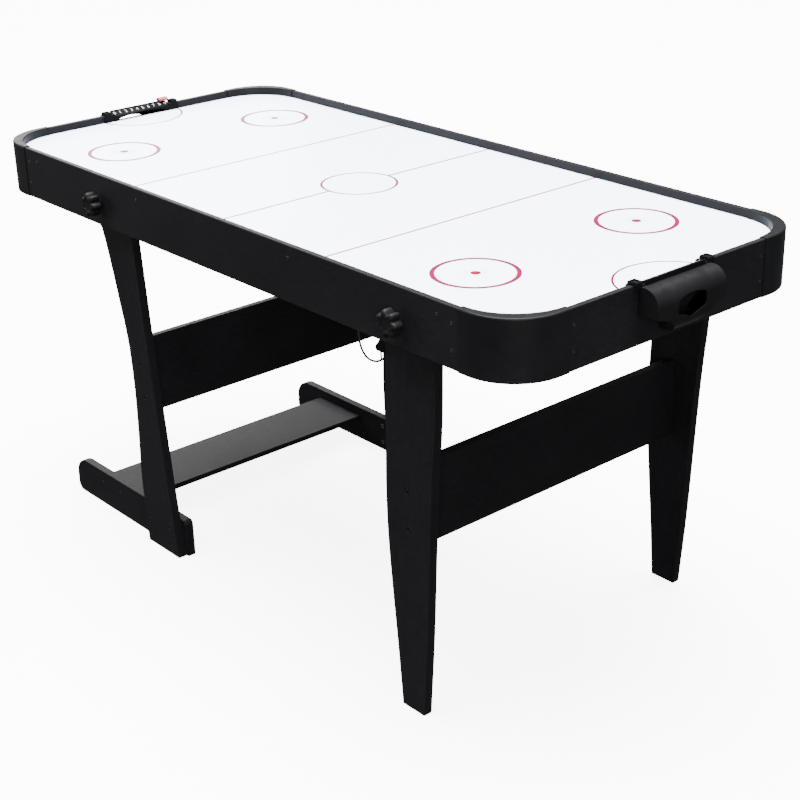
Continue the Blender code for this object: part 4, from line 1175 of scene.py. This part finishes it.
def star(r_out, r_in, lobes, per):
    pts = []
    for k in range(lobes * per):
        a = 2 * math.pi * k / (lobes * per)
        wave = 0.5 + 0.5 * math.cos(lobes * a)
        r = r_in + (r_out - r_in) * wave ** 0.7
        pts.append((r * math.cos(a), r * math.sin(a)))
    return pts


PIVOT_HEAD = add("m_pivot", turned_mesh(
    [(0, Y_IN + 0.0079), (PIVOT_R, Y_IN + 0.0079), (PIVOT_R, LEG_Y_IN - GAP),
     (0.0078, LEG_Y_IN - GAP), (0.0078, LEG_Y_IN - 0.0036), (0.0070, LEG_Y_IN - 0.0048),
     (0, LEG_Y_IN - 0.0048)], 40))
cut(PIVOT_HEAD, prism("t_hex", circle(0, 0, 0.0030, 6), "Z", LEG_Y_IN - 0.02, LEG_Y_IN - 0.0022))
PIVOT_HEAD = master(PIVOT_HEAD)

for end, e in ENDS:
    px = PIVOT_X[end]
    for side, s in SIDES:
        turn = Matrix.Rotation(-s * math.pi / 2, 4, "X")
        place = Matrix.Translation((px, 0, PIVOT_Z)) @ turn
        bolt = joined("%s_pivot_bolt_head_%s" % (end, side), [(PIVOT_HEAD, place)])
        ready(bolt, ZINC, "tabletop", "zinc_steel", "%s_pivot_bolt_%s" % (end, side))

        sx, sz = px + STUD_DX, PIVOT_Z + STUD_DZ
        y0, y1 = sorted((s * (LEG_Y_IN - GAP), s * (LEG_Y_IN - 0.0051)))
        nut = box("%s_clamp_plate_%s" % (end, side), (sx - 0.0095, sx + 0.0110),
                  (y0, y1), (sz - 0.0075, sz + 0.0080))
        lo, hi = sorted((s * (LEG_Y_IN + 0.01), s * (LEG_Y_IN - 0.0040)))
        drill(nut, "Y", (sx, sz), STUD_R + GAP, lo, hi)
        fixed(nut, 0.0005, 2)
        ready(nut, ZINC, "tabletop", "zinc_steel", "%s_clamp_nut_%s" % (end, side))

        # star knob: seven lobes with rounded shoulders, a shallow dish in front
        face = TABLE_W / 2 + KNOB_FACE
        back = TABLE_W / 2 + 0.0012
        neck = TABLE_W / 2 + 0.0090
        outline = star(KNOB_R, 0.0175, 7, 14)
        levels = [(neck, 0.80), (neck + 0.0006, 0.88), (neck + 0.0022, 0.965),
                  (neck + 0.0045, 1.0), (face - 0.0060, 1.0), (face - 0.0038, 0.985),
                  (face - 0.0016, 0.93), (face - 0.0004, 0.85), (face, 0.74),
                  (face - 0.0002, 0.62), (face - 0.0012, 0.52), (face - 0.0014, 0.40)]
        rings = []
        for y, f in levels:
            ring = []
            for x, z in outline:
                r = math.hypot(x, z)
                if f < 0.70:       # the dish is round
                    t = (0.70 - f) / 0.30
                    k = f * ((1 - t) + t * 0.0205 / r)
                else:
                    k = f
                ring.append((x * k, z * k, y))
            rings.append(ring)
        knob = add("knob_%s_%s" % (end, side), rings_mesh(rings))
        stem = add("t_stem", turned_mesh([(0, LEG_Y_IN - 0.0034), (STUD_R - 0.0006, LEG_Y_IN - 0.0034),
                                          (STUD_R, LEG_Y_IN - 0.0028), (STUD_R, back),
                                          (0.0098, back), (0.0105, back + 0.0006),
                                          (0.0125, neck + 0.001), (0, neck + 0.001)], 40))
        for part in (knob, stem):
            part.data.transform(turn)
            part.data.transform(Matrix.Translation((sx, 0, sz)))
        cut(knob, stem, "UNION")
        fixed(knob, smooth=38)
        ready(knob, KNOB_PLASTIC, "%s_knob_%s" % (end, side), "knob_black",
              "%s_knob_%s" % (end, side))
        knob.data.materials.append(ZINC)
        for face_ in knob.data.polygons:
            c = face_.center
            if abs(c.y) < TABLE_W / 2 + 0.0011 and math.hypot(c.x - sx, c.z - sz) < STUD_R + 0.0002:
                face_.material_index = 1

# ------------------------------------------------------------- lead fittings

heading = math.atan2(along.y, along.x) - math.pi / 2
for name, node, at in (("lead_saddle_inner", "lead_clip_inner", clip_a),
                       ("lead_saddle_outer", "lead_clip_outer", clip_b)):
    w, h = 0.0055, 0.0035
    saddle = ([(-w, BASE_Z0 - GAP), (-w, LEAD_Z - 0.001)]
              + arc(0, LEAD_Z - 0.001, w, 180, 360, 24)[1:-1]
              + [(w, LEAD_Z - 0.001), (w, BASE_Z0 - GAP)])
    clip = prism(name, saddle, "Y", -h, h)
    drill(clip, "Y", (0, LEAD_Z), LEAD_R + 0.0008, -0.02, 0.02)
    fixed(clip, 0.0004, 2)
    clip.data.transform(Matrix.Rotation(heading, 4, "Z"))
    clip.data.transform(Matrix.Translation((at.x, at.y, 0)))
    ready(clip, BLACK_PLASTIC, "tabletop", "moulding_black", node)

zb = INLET_BOTTOM
shape = ([(INLET_X0 + 0.003, zb), (INLET_X1 - 0.003, zb), (INLET_X1, zb + 0.0030),
          (INLET_X1, 0.7060), (INLET_X1 - 0.004, 0.7120), (INLET_X1 + 0.006, 0.7255),
          (INLET_X1 + 0.006, BASE_Z0 - GAP), (INLET_X0 - 0.002, BASE_Z0 - GAP),
          (INLET_X0 - 0.002, 0.7255), (INLET_X0 + 0.0115, 0.7120),
          (INLET_X0 + 0.0115, zb + 0.0220), (INLET_X0 + 0.0015, zb + 0.0090),
          (INLET_X0, zb + 0.0060), (INLET_X0, zb + 0.0030)])
inlet = prism("inlet_housing", shape, "Y", INLET_Y - 0.009, INLET_Y + 0.009)
drill(inlet, "Z", (INLET_X1 - 0.0060, INLET_Y + 0.003), 0.0030, 0.600, zb + 0.010)
fixed(inlet, 0.0010, 3, 25)
ready(inlet, BLACK_PLASTIC, "tabletop", "moulding_black", "power_inlet_box")

tail = [(-0.0010, zb - GAP), (0.0010, zb - GAP), (0.0028, zb - 0.0170), (0.0012, zb - 0.0172)]
tie = prism("lead_tie_tail", [(INLET_X0 + 0.0095 + a, b) for a, b in tail], "Y",
            INLET_Y - 0.0068, INLET_Y - 0.0044)
fixed(tie, 0.0002, 1)
ready(tie, BLACK_PLASTIC, "tabletop", "moulding_black", "lead_tie")

# ---------------------------------------------------------- floor and lights

floor = prism("floor", circle(0, 0, 30.0, 96), "Z", -0.0200, -0.0002)
floor_look = Look("floor_paper")
paper = floor_look.noise(1.3, 2.0)
floor_look.colour(floor_look.ramp(paper, (0.3, (0.50, 0.50, 0.505)), (0.7, (0.52, 0.52, 0.525))))
floor_look.put(Roughness=0.9, Specular_IOR_Level=0.0, Emission_Color=(1.0, 1.0, 1.0, 1.0),
               Emission_Strength=6.5)
floor.data.materials.append(floor_look.mat)
floor.visible_glossy = False
floor.visible_diffuse = False


def softbox(name, place, target, size, watts, colour=(1, 1, 1)):
    light = bpy.data.lights.new(name, "AREA")
    light.shape = "RECTANGLE"
    light.size, light.size_y = size
    light.energy = watts
    light.color = colour
    obj = bpy.data.objects.new(name, light)
    obj.location = place
    aim = Vector(target) - Vector(place)
    obj.rotation_mode = "QUATERNION"
    obj.rotation_quaternion = aim.to_track_quat("-Z", "Y")
    bpy.context.scene.collection.objects.link(obj)
    return obj


def daylight(name, direction, angle, strength, colour=(1, 1, 1)):
    """A broad even source from far away, shining along direction."""
    light = bpy.data.lights.new(name, "SUN")
    light.angle = math.radians(angle)
    light.energy = strength
    light.color = colour
    obj = bpy.data.objects.new(name, light)
    obj.rotation_mode = "QUATERNION"
    obj.rotation_quaternion = Vector(direction).to_track_quat("-Z", "Y")
    bpy.context.scene.collection.objects.link(obj)
    return obj


daylight("overhead", (0.14, -0.06, -1.0), 62, 36)
softbox("left_front", (-2.6, -2.4, 1.5), (-0.5, 0, 0.6), (1.8, 1.5), 78)
softbox("right_front", (3.9, -2.6, 1.7), (0.4, 0, 0.5), (2.4, 2.0), 300)
softbox("left_back", (-5.2, 2.2, 2.1), (-0.2, 0, 0.8), (2.6, 1.8), 110)

world = bpy.data.worlds.new("studio")
world.use_nodes = True
world.node_tree.nodes["Background"].inputs["Color"].default_value = (0.96, 0.98, 1.0, 1.0)
world.node_tree.nodes["Background"].inputs["Strength"].default_value = 0.22
bpy.context.scene.world = world
